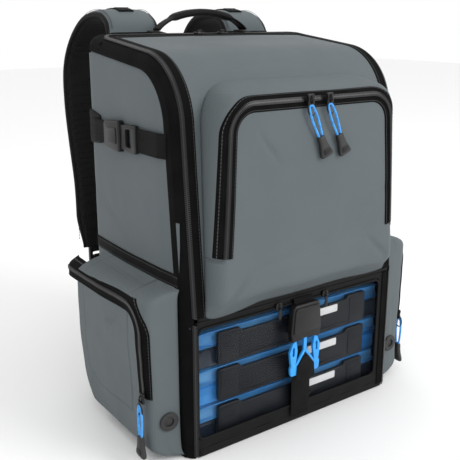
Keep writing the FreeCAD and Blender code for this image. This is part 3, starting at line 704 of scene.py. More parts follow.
def tube(name, points, radius, finish, sides=10, closed=False):
    """Round bar through points in mm."""
    rings = []
    count = len(points)
    for i, spot in enumerate(points):
        ahead = points[(i + 1) % count] if closed else points[min(i + 1, count - 1)]
        behind = points[i - 1] if closed else points[max(i - 1, 0)]
        way = (ahead - behind).normalized()
        helper = Vector((0.3, 0.2, 1)) if abs(way.z) < 0.9 else Vector((1, 0.3, 0))
        across = way.cross(helper).normalized()
        up = across.cross(way)
        rings.append([spot + across * radius * math.cos(a) + up * radius * math.sin(a)
                      for a in (2 * math.pi * k / sides for k in range(sides))])
    return loft(name, rings, finish, closed=closed)


# ---- the body's skin ---------------------------------------------------------------------
PROFILE = Track([(FRONT, 0, 0), (FRONT, HINGE_Z, 120), (FRONT + LEAN, TOP_FRONT, SHOULDER),
                 (BACK, TOP_BACK, 18), (BACK, 0, 0)])
LID_END = PROFILE.find(0, BACK - LID_BACK, 300)      # where the lid's zip runs across
SHOULDER_START = PROFILE.find(0, FRONT + LEAN + 0.5, 200)   # just past the front's upper end


def body(s, w, lift=0.0):
    """Point on the skin: s runs up the front and back over the lid, w around to a side."""
    spot, way = PROFILE.at(s)
    out = Vector((-way.y, way.x))
    side = 1 if w >= 0 else -1
    past = abs(w) - FLAT
    turn = min(max(past / EDGE, 0.0), math.pi / 2)
    x = min(abs(w), FLAT) + EDGE * math.sin(turn)
    depth = EDGE * (1 - math.cos(turn)) + max(past - QUARTER, 0.0)
    spot = spot - out * depth
    normal = Vector((side * math.sin(turn), out.x * math.cos(turn), out.y * math.cos(turn)))
    return Vector((side * x, spot.x, spot.y)) + normal * lift


def skin_y(z):
    """Y of the front skin at a height, up to just under the lid."""
    return PROFILE.at(PROFILE.find(1, min(z, 396.0), 0.0))[0].x


def flap_puff(s, w):
    """How far the flap's cloth stands off its frame: a slight crown and soft folds."""
    across = max(0.0, 1 - (w / 132) ** 2)
    along = ease((s - HINGE_Z) / 60) * ease((LID_END - s) / 50)
    crown = 4.5 * across ** 0.7 * along
    fold = 1.2 * ripple(w, s, 0, 90, 3.1) + 0.5 * ripple(w, s, 0, 34, 7.7)
    return crown + fold * across * along


# Coil line of the main zip in (s, w), up the left edge; positive offsets lie on the flap.
MAIN_ZIP = Track([(0, -SPLIT, 0), (LID_END, -SPLIT, 15), (LID_END, SPLIT, 15), (0, SPLIT, 0)])
FLAP_FROM = 160.6           # the flap's cloth starts just above its fold


def flap_cloth():
    rows = steps(FLAP_FROM, LID_END - 1.5, 6)
    columns = steps(-SPLIT + 1.2, -FLAT, 2.5) + steps(-FLAT, FLAT, 7)[1:-1] + steps(FLAT, SPLIT - 1.2, 2.5)
    made = cloth("flap_cloth", rows, columns, lambda s, w: body(s, w, flap_puff(s, w)),
                 "grey_fabric", 2.4, "lining")
    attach(made, "main_flap")
    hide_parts("main_flap_shell", "main_flap_zip_tape")


def zip_halves(label, guide, surface, sides, lift, span=None):
    """Both toothed edges of a zip: sides is ((body, side), ...)."""
    for name, side in sides:
        made = small_blocks("%s_coil_%s" % (label, name), coil_blocks(guide, surface, side, lift, span),
                            "coil_black")
        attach(made, name)


def stitched(label, name, lines):
    """Rows of stitches on one body; lines is a list of block lists."""
    made = small_blocks("%s_stitches" % label, [b for line in lines for b in line], "thread")
    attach(made, name)


def main_zip():
    """Zip tape on the flap with its stitches, and the coil between the flap and the frame of the bag."""
    lower = FLAP_FROM + 0.6
    span = (lower, MAIN_ZIP.length - lower)
    flap_tape = strip("main_tape_flap", MAIN_ZIP, body, tape_columns(0.4, FLAP_BAND, ridge=8),
                      "zip_tape", span=span)
    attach(flap_tape, "main_flap")
    zip_halves("main", MAIN_ZIP, body, (("main_flap", 1), ("pack", -1)), TAPE_UP, span)
    stitched("main_tape", "main_flap", [stitch_blocks(MAIN_ZIP, body, FLAP_BAND - 2.4, 1.2, span)])


def band_depth(s):
    """Width of the band on the side at this place along the profile."""
    top = ease((s - SHOULDER_START + 5) / 85)
    return SIDE_BAND + (SIDE_BAND_TOP - SIDE_BAND) * top


def side_band(side):
    """Wide tape from the zip around the edge onto the side, from the ground to the rear."""
    label = "left" if side < 0 else "right"
    rows = steps(0.6, LID_END + 16, 4)
    around = FLAT + QUARTER - EDGE
    verts, uvs = [], []
    shares = [0, 0.02, 0.06, 0.15, 0.25, 0.35, 0.45, 0.55, 0.65, 0.75, 0.85, 0.93, 0.97, 1.0]
    for s in rows:
        far = around + band_depth(s)
        for share in shares:
            w = SPLIT + 0.4 + (far - SPLIT - 0.4) * share
            edge = min(share / 0.02, 1.0) * min((1 - share) / 0.03, 1.0)
            lift = 0.15 + (TAPE_UP - 0.15) * edge + 0.5 * bump_at(w, far - 2.2, 1.8)
            lift += 0.45 * bump_at(w, SPLIT + 12, 1.6)
            verts.append(body(s, side * w, lift))
            uvs.append((s, w))
    made = piece("side_band_" + label, verts, grid_faces(len(rows), len(shares)), "zip_tape", uvs,
                 inside=INSIDE)
    thicken(made, 0.8)
    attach(made, "pack")
    return made


def fixed_tapes():
    bands = [side_band(side) for _, side in SIDES]
    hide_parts("zip_tape_fixed")
    first = MAIN_ZIP.find(1, -SPLIT + 14, LID_END - 20)
    last = MAIN_ZIP.length - first
    rear = strip("rear_band", MAIN_ZIP, body, tape_columns(-0.4, -17, ridge=9), "zip_tape",
                 span=(first - 22, last + 22))
    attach(rear, "pack")


# ---- sides, back and base ----------------------------------------------------------------
def side_skin(side):
    """Surface of a side: soft, filled out, and drawn in under the compression strap."""
    def place(y, z, lift=0.0):
        deep = math.sin(math.pi * min(max((y - FRONT) / DEPTH, 0), 1))
        swell = 2.6 * deep * math.sin(math.pi * min(max(z / 425, 0), 1))
        swell *= 1 - 0.8 * bump_at(z, STRAP_Z, 42)
        swell += (0.8 * ripple(0, y, z, 80, 11.0 + side) + 0.35 * ripple(0, y, z, 28, 5.0)) * deep
        swell -= 1.0 * bump_at(z - 226 - (y - FRONT - 119) * 0.5, 0, 9) * bump_at(y, FRONT + 149, 70)
        swell *= ease((y - skin_y(max(z, 0.0)) - 18) / 24)
        return Vector((side * (HALF + swell + lift), y, z))
    return place


def side_cloth(label, side):
    """Grey side: from under the band, around the rear edge to the back."""
    rear_flat = BACK - EDGE
    surface = side_skin(side)
    top = Track([(FRONT + 14, 0, 0), (FRONT + 14, HINGE_Z, 120),
                 (FRONT + LEAN + 13.5, TOP_FRONT - 14.5, SHOULDER - 14),
                 (BACK - 8, TOP_BACK - 14, 20), (BACK - 6, 0, 0)])

    def height(y):
        """Upper edge of the side cloth, hidden under the band."""
        return top.at(top.find(0, y, 60.0))[0].y

    columns = [("flat", y, height(y)) for y in steps(FRONT + 14.2, rear_flat, 5)]
    last = columns[-1][2]
    columns += [("arc", math.pi / 2 * k / 6, last) for k in range(1, 7)] + [("back", 3.0, last)]

    def place(share, column):
        kind, value, top_z = column
        z = 0.6 + (top_z - 0.6) * share
        if kind == "flat":
            return surface(value, z)
        edge = surface(rear_flat, z)
        swell = abs(edge.x) - HALF
        if kind == "arc":
            return Vector((side * (FLAT + EDGE * math.cos(value) + swell * math.cos(value)),
                           rear_flat + EDGE * math.sin(value), z))
        return Vector((side * (FLAT - value), BACK, z))

    shares = [k / 60 for k in range(61)]
    verts = [place(share, column) for share in shares for column in columns]
    uvs = [(share * 420, column[1]) for share in shares for column in columns]
    made = piece("side_cloth_" + label, verts, grid_faces(len(shares), len(columns)), "grey_fabric", uvs,
                 inside=INSIDE)
    thicken(made, 2.2, "lining")
    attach(made, "pack")
    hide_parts("side_panel_" + label)


def back_cloth():
    """Yoke behind the lid and the back panel down to the base, in one cloth."""
    rows = steps(LID_END + 1.5, PROFILE.length - 2, 7)
    columns = steps(-SPLIT, -FLAT, 2.5) + steps(-FLAT, FLAT, 10)[1:-1] + steps(FLAT, SPLIT, 2.5)
    made = cloth("back_cloth", rows, columns,
                 lambda s, w: body(s, w, 0.4 + 0.6 * ripple(w, s, 0, 60, 4.4)), "grey_fabric", 2.4,
                 "lining")
    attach(made, "pack")
    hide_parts("back_panel", "top_yoke")


def piping(name, points, radius):
    made = tube(name, points, radius, "black_fabric", sides=8)
    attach(made, "pack")


def rear_piping(label, side):
    """Cord sewn into the seam between the side and the back."""
    points = []
    for s in steps(LID_END + 20, PROFILE.length - 3, 8):
        points.append(body(s, side * (SPLIT - 2), 0.8))
    piping("rear_piping_" + label, points, 1.6)


def base_cloth():
    """Black base with a turned-up hem all around."""
    outline = box_outline(-HALF + 0.6, FRONT + 0.6, HALF - 0.6, BACK - 0.6, EDGE, 3)
    centre = Vector((0, (FRONT + BACK) / 2))

    def ring(inset, z):
        wide, deep = (HALF - inset) / HALF, (DEPTH / 2 - inset) / (DEPTH / 2)
        return [Vector(((p - centre).x * wide, centre.y + (p - centre).y * deep, z)) for p in outline]

    rings = [ring(3.0, 3.2), ring(3.0, 1.0), ring(2.2, 0.2), ring(0.8, 0.5), ring(0.1, 1.6), ring(0.1, 3.4)]
    made = loft("base_cloth", rings, "black_fabric")
    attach(made, "pack")
    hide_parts("base_panel")


def shelf_cloth():
    """Padded floor of the main compartment, turned up in front over the door."""
    lowest, highest = low("tray_shelf"), high("tray_shelf")
    rows = steps(lowest[0] + 1, highest[0] - 1, 12)
    columns = steps(lowest[1] + 4, highest[1] - 1, 12)
    made = cloth("shelf_cloth", rows, columns,
                 lambda x, y: Vector((x, y, 152.6 + 0.4 * ripple(x, y, 0, 50, 2.0))), "lining", 2.2,
                 inside=(0, -33, 0))
    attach(made, "pack")
    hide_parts("tray_shelf")
    line = Track([(-133, 0, 0), (133, 0, 0)])
    riser = strip("shelf_riser", line, lambda x, up, lift: Vector((x, FRONT + 4.4 - lift, 152 + up)),
                  [(0, 0), (3, 0.3), (5.5, 3.4), (7.6, 3.6)], "lining", 1.4, inside=(0, 0, 150))
    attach(riser, "pack")


def fold_strips():
    """Cloth hinges under the flap and under the door."""
    for name, other, low_s, high_s, start, end in (
            ("flap_fold", "main_flap", DOOR_TOP + 0.8, FLAP_FROM + 3, 157.6, 160.4),
            ("door_fold", "tray_door", 0.8, DOOR_LOW + 4, 3.6, 5.4)):
        rows = steps(low_s, high_s, 0.8)
        columns = steps(-SPLIT + 3, SPLIT - 3, 6)
        made = cloth(name, rows, columns, lambda s, w: body(s, w, 0.3), "black_fabric", 0.9)
        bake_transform(made)


def pocket_binding(label, side):
    """Black tape across the side just above a side pocket."""
    surface = side_skin(side)
    line = Track([(FRONT + SIDE_BAND - 5, SIDE_TOP + 8.5, 0), (BACK - 17, SIDE_TOP + 8.5, 0)])
    columns = tape_columns(-7.0, 7.0, 1.3)
    made = strip("pocket_binding_" + label, line, surface, columns, "webbing_black", 1.6)
    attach(made, "pack")
    around = Track([(BACK - 17, SIDE_TOP + 8.5, 0), (BACK + 8, SIDE_TOP + 8.5, 0)])

    def corner(run, z, lift):
        angle = (run - (BACK - 17)) / EDGE
        radius = EDGE + lift
        return Vector((side * (FLAT + radius * math.cos(angle)), BACK - EDGE + radius * math.sin(angle), z))

    end = strip("pocket_binding_end_" + label, around, corner, columns, "webbing_black", 1.6, size=2.0)
    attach(end, "pack")
    stitched("pocket_binding_" + label, "pack",
             [stitch_blocks(line, surface, offset, 1.35) for offset in (-4.6, 4.6)])


# ---- front pocket ------------------------------------------------------------------------
POCKET_LINE = Track([(FRONT - 1, POCKET_LOW, 0), (*FACE_LOW, 15), (*FACE_HIGH, 14),
                     (FRONT + 31, POCKET_TOP + 4, 0)])
WALL_RUN = 15.0             # the pocket's side wall rises over this distance


def pocket_half(z):
    """Half-width of the front pocket at a height, with its rounded upper corners."""
    narrowing = (POCKET_HALF_LOW - POCKET_HALF_TOP) / (POCKET_TOP - POCKET_LOW)
    straight = POCKET_HALF_LOW - narrowing * (z - POCKET_LOW)
    over = z - (POCKET_TOP + 2 - 38)
    if over <= 0:
        return straight
    return straight - 38 + math.sqrt(max(38 ** 2 - over ** 2, 0.0))


def pocket_folds(x, z):
    """Soft creases of the pocket's face: a crown, a sag and two pulled folds."""
    inner = max(0.0, 1 - (x / 128) ** 2)
    crown = 3.2 * inner * math.sin(math.pi * ease((z - 165) / 210))
    sag = 3.0 * bump_at(z, 196, 34) * (0.4 + 0.6 * inner)
    crease = 0.0
    for x0, z0, tilt, width, reach, depth in ((-62, 330, -0.9, 5, 30, 1.6), (-104, 188, 0.8, 5, 26, 2.6),
                                              (70, 250, 0.5, 9, 60, 1.3), (-30, 214, 0.15, 7, 80, 1.2),
                                              (96, 200, -0.7, 6, 32, 2.2)):
        along = (x - x0) * math.cos(tilt) + (z - z0) * math.sin(tilt)
        across = (z - z0) * math.cos(tilt) - (x - x0) * math.sin(tilt)
        crease -= depth * bump_at(along, 0, reach) * bump_at(across, 0, width)
    return crown + sag + crease + 0.9 * ripple(x, z, 0, 60, 21.0) * inner


def pocket_droop(t, x):
    """How far the pocket's lower edge hangs below its straight line."""
    low_part = 1 - ease(t / 55)
    return low_part * (6.5 * bump_at(x, -112, 62) + 2.0 * bump_at(x, 104, 46) + 1.2 * bump_at(x, -10, 60))


def pocket(t, x, lift=0.0):
    """Point on the front pocket: t runs up its side view, x across."""
    spot, way = POCKET_LINE.at(t)
    z = spot.y
    base = skin_y(z) - 0.4
    edge = min(max((pocket_half(z) - abs(x)) / WALL_RUN, 0.0), 1.0)
    rise = (1 - (1 - edge) ** 2.4) ** (1 / 2.4)
    out = Vector((-way.y, way.x))
    near_edge = min(t, POCKET_LINE.length - t) / 24
    puff = pocket_folds(x, z) * min(near_edge, 1.0)
    depth = (base - spot.x) * rise
    sag = pocket_droop(t, x) * rise
    return Vector((x, base - depth, z - sag)) + Vector((0, out.x, out.y)) * (puff * rise + lift)


T_HINGE = POCKET_LINE.find(1, POCKET_HINGE)


def t_of(z):
    """Length along the pocket's side view for a height on its face."""
    return T_HINGE + (z - POCKET_HINGE) / POCKET_LINE.at(T_HINGE)[1].y


# Coil line of the pocket zip in (t, x); positive offsets lie on the moving panel.
ARCH_LOW_T, ARCH_TOP_T = T_HINGE + 2.0, t_of(ARCH_TOP)
ARCH = Track([(ARCH_LOW_T, -ARCH_LOW_HALF, 0), (ARCH_TOP_T, -ARCH_TOP_HALF, ARCH_R),
              (ARCH_TOP_T, ARCH_TOP_HALF, ARCH_R), (ARCH_LOW_T, ARCH_LOW_HALF, 0)])


def inside_arch(t, x):
    """True on the pocket's moving panel, inside the zip's coil line."""
    if t < T_HINGE:
        return True
    if t > ARCH_TOP_T:
        return False
    half = ARCH_LOW_HALF + (ARCH_TOP_HALF - ARCH_LOW_HALF) * (t - T_HINGE) / (ARCH_TOP_T - T_HINGE)
    over = t - (ARCH_TOP_T - ARCH_R)
    if over > 0:
        half -= ARCH_R - math.sqrt(max(ARCH_R ** 2 - over ** 2, 0.0))
    return abs(x) < half


def front_pocket_cloth():
    rows = steps(0, T_HINGE, 3.0) + steps(T_HINGE, POCKET_LINE.length, 3.0)[1:]
    shares = [k / 84 for k in range(-84, 85)]

    def place(t, share):
        half = pocket_half(POCKET_LINE.at(t)[0].y)
        return pocket(t, x_of(half, share))

    def x_of(half, share):
        """Columns crowd together near the pocket's side walls."""
        return half * math.sin(share * math.pi / 2 * 0.98) / math.sin(math.pi / 2 * 0.98)

    def within(t, share):
        half = pocket_half(POCKET_LINE.at(t)[0].y)
        return inside_arch(t, x_of(half, share))

    face = cloth("front_pocket_face", rows, shares, place, "grey_fabric", 1.6, "lining", keep=within)
    pivot_y = POCKET_LINE.at(T_HINGE)[0].x * 0.001
    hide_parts("front_pocket_panel")
    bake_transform(face)
    ring = cloth("front_pocket_wall", rows, shares, place, "grey_fabric", 1.6, "lining",
                 keep=lambda t, share: not within(t, share))
    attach(ring, "main_flap")
    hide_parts("front_pocket_gusset")


def front_pocket_zip():
    outer = strip("pocket_tape_outer", ARCH, pocket, tape_columns(-0.4, -8.8), "zip_tape")
    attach(outer, "main_flap")
    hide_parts("pocket_zip_outer")
    inner = strip("pocket_tape_inner", ARCH, pocket, tape_columns(0.4, 8.8), "zip_tape")
    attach(inner, "pocket_panel")
    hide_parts("pocket_zip_inner")
    zip_halves("front_pocket", ARCH, pocket, (("main_flap", -1), ("pocket_panel", 1)), TAPE_UP)
    stitched("pocket_wall", "main_flap", [stitch_blocks(ARCH, pocket, -7.0, TAPE_UP)])
    stitched("pocket_face", "pocket_panel", [stitch_blocks(ARCH, pocket, 7.0, TAPE_UP)])
    for label, side in SIDES:
        seam = [pocket(T_HINGE - 0.5, side * x, 0.3) for x in steps(118, 129, 1)]
        made = tube("pocket_seam_" + label, seam, 0.7, "grey_fabric", 6)
        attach(made, "main_flap")


def slider(name, place, width, length, body_name, *nodes):
    """Zip slider: place(across, along, up) gives points; a waisted body with a bridge."""
    w, n = width / 2, length / 2
    outline = rounded([(-w, -n, 1.6), (w, -n, 1.6), (w * 0.72, 0, 3), (w, n, 1.8), (-w, n, 1.8),
                       (-w * 0.72, 0, 3)], 0.8)
    lower = plate(name + "_body", outline, place, 0.3, 2.8, "slider_black", 0.5)
    arch = [place(0, -n * 0.66, 2.4), place(0, -n * 0.5, 4.4), place(0, -n * 0.1, 5.0),
            place(0, n * 0.35, 4.6), place(0, n * 0.6, 2.4)]
    bridge = tube(name + "_bridge", arch, 1.0, "slider_black", 8)
    made = joined(name, [lower, bridge])
    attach(made, body_name)
    if nodes:
        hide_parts(*nodes)
    return made


LOOP_ROUTE = [(37.0, -1.9), (27.5, -3.2), (15.0, -4.0), (5.0, -3.3), (-0.6, -2.0),
              (-0.6, 2.0), (5.0, 3.3), (15.0, 4.0), (27.5, 3.2), (37.0, 1.9)]
CORD_D = 2.6


def pull(label, origin, down, side, out, body_name, pull_node, cord_node):
    """A slider's pull: wire bail, blue cord loop and flared rubber grip."""
    def at(a, b, up):
        """Along the pull, sideways, and off the surface."""
        return origin + down * a + side * b + out * up

    bail = [at(-3.4, 0, 0.6), at(-2.6, 2.6, 0.4), at(0.4, 4.4, 0), at(6.0, 5.0, -0.3), at(9.6, 3.4, -0.4),
            at(10.8, 0, -0.4), at(9.6, -3.4, -0.4), at(6.0, -5.0, -0.3), at(0.4, -4.4, 0),
            at(-2.6, -2.6, 0.4)]
    ring = smoothed(tube(label + "_bail", bail, 0.95, "slider_black", 8, closed=True))
    rings = []
    for a, half, thick, shift in ((34.5, 3.3, 2.2, 0), (35.0, 4.4, 3.0, 0), (40, 4.5, 3.2, 0),
                                  (46, 5.2, 3.2, 0),
                                  (51, 6.8, 3.3, 0.2), (55, 8.2, 3.4, 0.3), (57.6, 8.4, 3.2, 0.3),
                                  (59.0, 7.6, 2.2, 0.3)):
        loop = []
        for k in range(20):
            wide, tall = squarish(2 * math.pi * k / 20, 0.6, 0.75)
            b = half * wide + shift
            loop.append(at(a + 0.06 * b, b, thick * tall))
        rings.append(loop)
    grip = loft(label + "_grip", rings, "grip_black")
    smoothed(grip)
    recess = plate(label + "_recess", rounded([(49, -3.6, 1.5), (49, 3.6, 1.5), (55.5, 5.4, 1.5),
                                               (55.5, -5.4, 1.5)], 1),
                   at, 3.1, 3.6, "slider_black", 0.15)
    hardware = joined(label, [ring, grip, recess])
    hardware["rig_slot"] = "grip_black"
    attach(hardware, body_name)
    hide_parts(pull_node)
    curve = bpy.data.curves.new(label + "_cord", "CURVE")
    curve.dimensions = "3D"
    curve.bevel_depth = CORD_D / 2000
    curve.bevel_resolution = 4
    curve.resolution_u = 12
    spline = curve.splines.new("NURBS")
    spline.points.add(len(LOOP_ROUTE) - 1)
    for point, (a, b) in zip(spline.points, LOOP_ROUTE):
        point.co = (*(at(a, b, 0) * 0.001), 1)
    spline.order_u = 3
    spline.use_endpoint_u = True
    curve.materials.append(MATERIALS["cord_blue"])
    cord = new_object(label + "_cord", curve)
    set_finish(cord, "cord_blue")
    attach(cord, body_name)
    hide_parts(cord_node)
    a, b = LOOP_ROUTE[0]
    tuple(at(a, b, 0) * 0.001)


def face_y(z):
    """Y of the pocket's straight face at a height."""
    part = (z - FACE_LOW[1]) / (FACE_HIGH[1] - FACE_LOW[1])
    return FACE_LOW[0] + part * (FACE_HIGH[0] - FACE_LOW[0])


def front_pulls():
    slope = (FACE_HIGH[0] - FACE_LOW[0]) / (FACE_HIGH[1] - FACE_LOW[1])
    face_down = Vector((0, -slope, -1)).normalized()
    out = Vector((0, -1, slope)).normalized()
    across = Vector((1, 0, 0))
    turn = math.radians(24)
    down = face_down * math.cos(turn) + across * math.sin(turn)
    side_way = across * math.cos(turn) - face_down * math.sin(turn)
    for label, side in SIDES:
        x = 13.0 * side
        seat = Vector((x, face_y(ARCH_TOP + 0.5) - TAPE_UP - 3.0, ARCH_TOP + 0.5))
        slider("front_slider_" + label, lambda a, b, up,
               seat=seat: seat + across * a - face_down * b + out * up,
               10, 11, "pocket_slider_" + label, "pocket_slider_" + label)
        origin = Vector((x, face_y(ARCH_TOP - 6) - TAPE_UP - 4.6, ARCH_TOP - 6))
        pull("front_pull_" + label, origin, down, side_way, out, "pocket_pull_" + label,
             "pocket_pull_" + label, "pocket_cord_" + label)


# ---- tray door ---------------------------------------------------------------------------
def door_cloth():
    """Black frame of the door with its window opening."""
    x0, x1 = -SPLIT + 2.4, PANE_HIGH[0]
    z0, z1 = PANE_LOW[2] + 1.5, PANE_HIGH[2] + 2.5
    rows = steps(DOOR_LOW, z0, 2.5) + steps(z0, z1, 6)[1:-1] + steps(z1, DOOR_TOP, 2.5)
    columns = (steps(-SPLIT + 0.6, x0, 1) + steps(x0, x1, 6)[1:-1] + steps(x1, SPLIT - 1, 2))

    def place(s, w):
        wrinkle = 1.5 * bump_at(s, 12, 11) * ripple(w, s * 2.5, 0, 22, 8.0)
        return body(s, w, wrinkle)

    def beside_window(s, w):
        return not (x0 < w < x1 and z0 < s < z1)

    made = cloth("door_cloth", rows, columns, place, "black_fabric", 1.8, keep=beside_window)
    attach(made, "tray_door")
    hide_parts("window_frame")
    outline = box_outline(x0, z0, x1, z1, 8, 2)
    hem = tube("window_hem", [Vector((p.x, FRONT - 0.3, p.y)) for p in outline], 1.3, "black_fabric", 8,
               closed=True)
    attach(hem, "tray_door")
    pane = cloth("window_film", steps(z0 - 4, z1 + 4, 6), steps(x0 - 4, x1 + 4, 8),
                 lambda z, x: Vector((x, FRONT + 1.4 - 1.3 * ripple(x, z, 0, 48, 9.0), z)),
                 "clear_window", 0.5)
    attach(pane, "tray_door")
    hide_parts("window_pane")


def door_zip():
    """The main zip's lower stretch, which closes the door's two upright edges."""
    for label, side in SIDES:
        span = (2.0, DOOR_TOP) if side < 0 else (MAIN_ZIP.length - DOOR_TOP, MAIN_ZIP.length - 2)
        zip_halves("door_" + label, MAIN_ZIP, body, (("tray_door", 1), ("pack", -1)), TAPE_UP, span)
        tape = strip("door_tape_" + label, MAIN_ZIP, body, tape_columns(0.4, 2.6 if side < 0 else 12),
                     "zip_tape",
                     span=(span[0] + 3, span[1]) if side < 0 else (span[0], span[1] - 3))
        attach(tape, "tray_door")


def centre_strap():
    """Webbing down the middle of the window with its buckle."""
    web_y = low("window_strap")[1]
    half = 14.0

    def web(x, up, lift):
        return Vector((x, web_y - lift, up))

    columns = [(-half, 0.2), (-half + 0.8, 0.8), (-8, 1.0), (0, 1.0), (8, 1.0), (half - 0.8, 0.8),
               (half, 0.2)]
    lower = Track([(8.4, 0, 0), (62, 0, 0)])
    made = strip("centre_web_lower", lower, lambda z, x, lift: web(-x, z, lift - 3.2 * ease((66 - z) / 12)),
                 columns, "webbing_black", 1.4, inside=(0, 0, 50))
    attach(made, "tray_door")
    upper = Track([(142, 0, 0), (155.5, 0, 0)])
    top = strip("centre_web_upper", upper,
                lambda z, x, lift: web(-x, z, lift - 3.4 * ease((z - 146) / 8)),
                columns, "webbing_black", 1.4, inside=(0, 0, 150))
    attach(top, "tray_door")
    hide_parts("window_strap")


def front_plane(y):
    """Places (x, z, forwards) on an upright plane facing the front."""
    return lambda a, b, up: Vector((a, y - up, b))


def centre_buckle():
    """Black socket half above, blue prong half below with the webbing folded over its bar."""
    back = high("window_buckle_female")[1]
    at = front_plane(back)
    low_z, high_z = low("window_buckle_female")[2], high("window_buckle_female")[2]
    case = plate("socket_case",
                 rounded([(-20, low_z, 2), (-8, low_z + 3, 4), (8, low_z + 3, 4), (20, low_z, 2),
                                         (22, low_z + 12, 6), (19, high_z, 5), (-19, high_z, 5),
                                         (-22, low_z + 12, 6)]),
                 at, 0.4, 8.8, "buckle_black", 1.6, segments=3)
    ridge = plate("socket_ridge", rounded([(-20, low_z + 11, 2), (20, low_z + 11, 2), (17.5, high_z - 3, 4),
                                           (-17.5, high_z - 3, 4)]), at, 8.0, 10.5, "buckle_black", 1.2)
    bar = plate("socket_bar",
                rounded([(-17, high_z - 3.6, 1.2), (17, high_z - 3.6, 1.2), (17, high_z + 0.4, 1.4),
                                       (-17, high_z + 0.4, 1.4)]), at, 1.0, 8.4, "buckle_black", 0.9)
    socket = joined("centre_socket", [case, ridge, bar])
    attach(socket, "tray_door")
    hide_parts("window_buckle_female")
    base = low("window_buckle_male")[2]
    parts = [plate("prong_bar",
                   rounded([(-21, base, 2.5), (21, base, 2.5), (22, base + 9, 3), (20, base + 14.5, 3),
                                         (14, base + 14.5, 2), (10, base + 6, 2), (-10, base + 6, 2),
                                         (-14, base + 14.5, 2), (-20, base + 14.5, 3), (-22, base + 9, 3)]),
                   at, 3.6, 7.6, "buckle_blue", 1.0, segments=3)]
    for side in (-1, 1):
        wing = rounded([(side * 20.5, base + 13, 2), (side * 14, base + 13, 2), (side * 11.4, base + 30, 6),
                        (side * 13.2, base + 41, 1.5), (side * 12.6, base + 66, 1),
                        (side * 16.4, base + 63, 1),
                        (side * 17.4, base + 42, 3), (side * 22.6, base + 30, 7)], 1)
        eye = rounded([(side * 18.7, base + 24, 1.3), (side * 15.6, base + 24, 1.3),
                       (side * 15.4, base + 35, 1.3),
                       (side * 18.4, base + 35, 1.3)], 0.8)
        parts.append(plate("prong_wing", wing, at, 3.9, 7.2, "buckle_blue", 0.9, [eye], segments=3))
        parts.append(plate("prong_leg", rounded([(side * 15, base + 12, 1), (side * 11.4, base + 11, 1),
                                                 (side * -1.4, base + 28.5, 1), (side * 1.0, base + 31, 1)],
                                                 1),
                           at, 4.4, 7.4, "buckle_blue", 0.8))
    parts.append(plate("prong_stem",
                       rounded([(-2.4, base + 26, 0.8), (2.4, base + 26, 0.8), (1.8, base + 67, 0.8),
                                              (-1.8, base + 67, 0.8)]), at, 4.2, 7.0, "buckle_blue", 0.9))
    male = joined("centre_prongs", parts)
    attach(male, "window_buckle")
    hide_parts("window_buckle_male")
    fold = plate("web_fold",
                 rounded([(-14, base - 6, 1), (14, base - 6, 1), (12.6, base + 10, 2), (3.5, base + 22, 2),
                                      (-3.5, base + 22, 2), (-12.6, base + 10, 2)]),
                 at, 7.7, 9.0, "webbing_black", 0.5)
    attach(fold, "window_buckle")


def door_sliders():
    for label, side in SIDES:
        name = "door_slider_" + label
        seat = Vector((34 * side, FRONT - 0.6, 151))
        at = lambda a, b, up, seat=seat: seat + Vector((a, -up, b))
        body_part = plate(name + "_a", rounded([(-4.5, -4, 1.5), (4.5, -4, 1.5), (4.5, 4, 2), (-4.5, 4, 2)]),
                          at, 0.2, 2.6, "slider_black", 0.6)
        bridge = tube(name + "_b", [at(0, 2.6, 2), at(0, 1.6, 4.3), at(0, -1.6, 4.3), at(0, -2.6, 2)], 0.9,
                      "slider_black", 8)
        tab = plate(name + "_c",
                    rounded([(-2.6, -15, 2.2), (2.6, -15, 2.2), (1.9, -3.4, 1.6), (-1.9, -3.4, 1.6)]),
                    at, 3.4, 4.5, "slider_black", 0.35)
        made = joined("door_tab_" + label, [body_part, bridge, tab])
        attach(made, name)
        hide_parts(name)


# ---- trays -------------------------------------------------------------------------------
def tray_ring(x, y0, y1, z, radius):
    """Level outline of a tray, half-width x, from y0 to y1."""
    return [Vector((p.x, p.y, z)) for p in box_outline(-x, y0, x, y1, radius, 2.5)]


def shell(name, levels, finish, x, y0, y1, radius):
    """Thin-walled tub from (inset, z) levels, outside first and then back down the inside."""
    rings = [tray_ring(x - inset, y0 + inset, y1 - inset, z, max(radius - inset * 0.6, 1.2)) for inset,
             z in levels]
    made = loft(name, rings, finish)
    sharpen(made, 40)
    return made


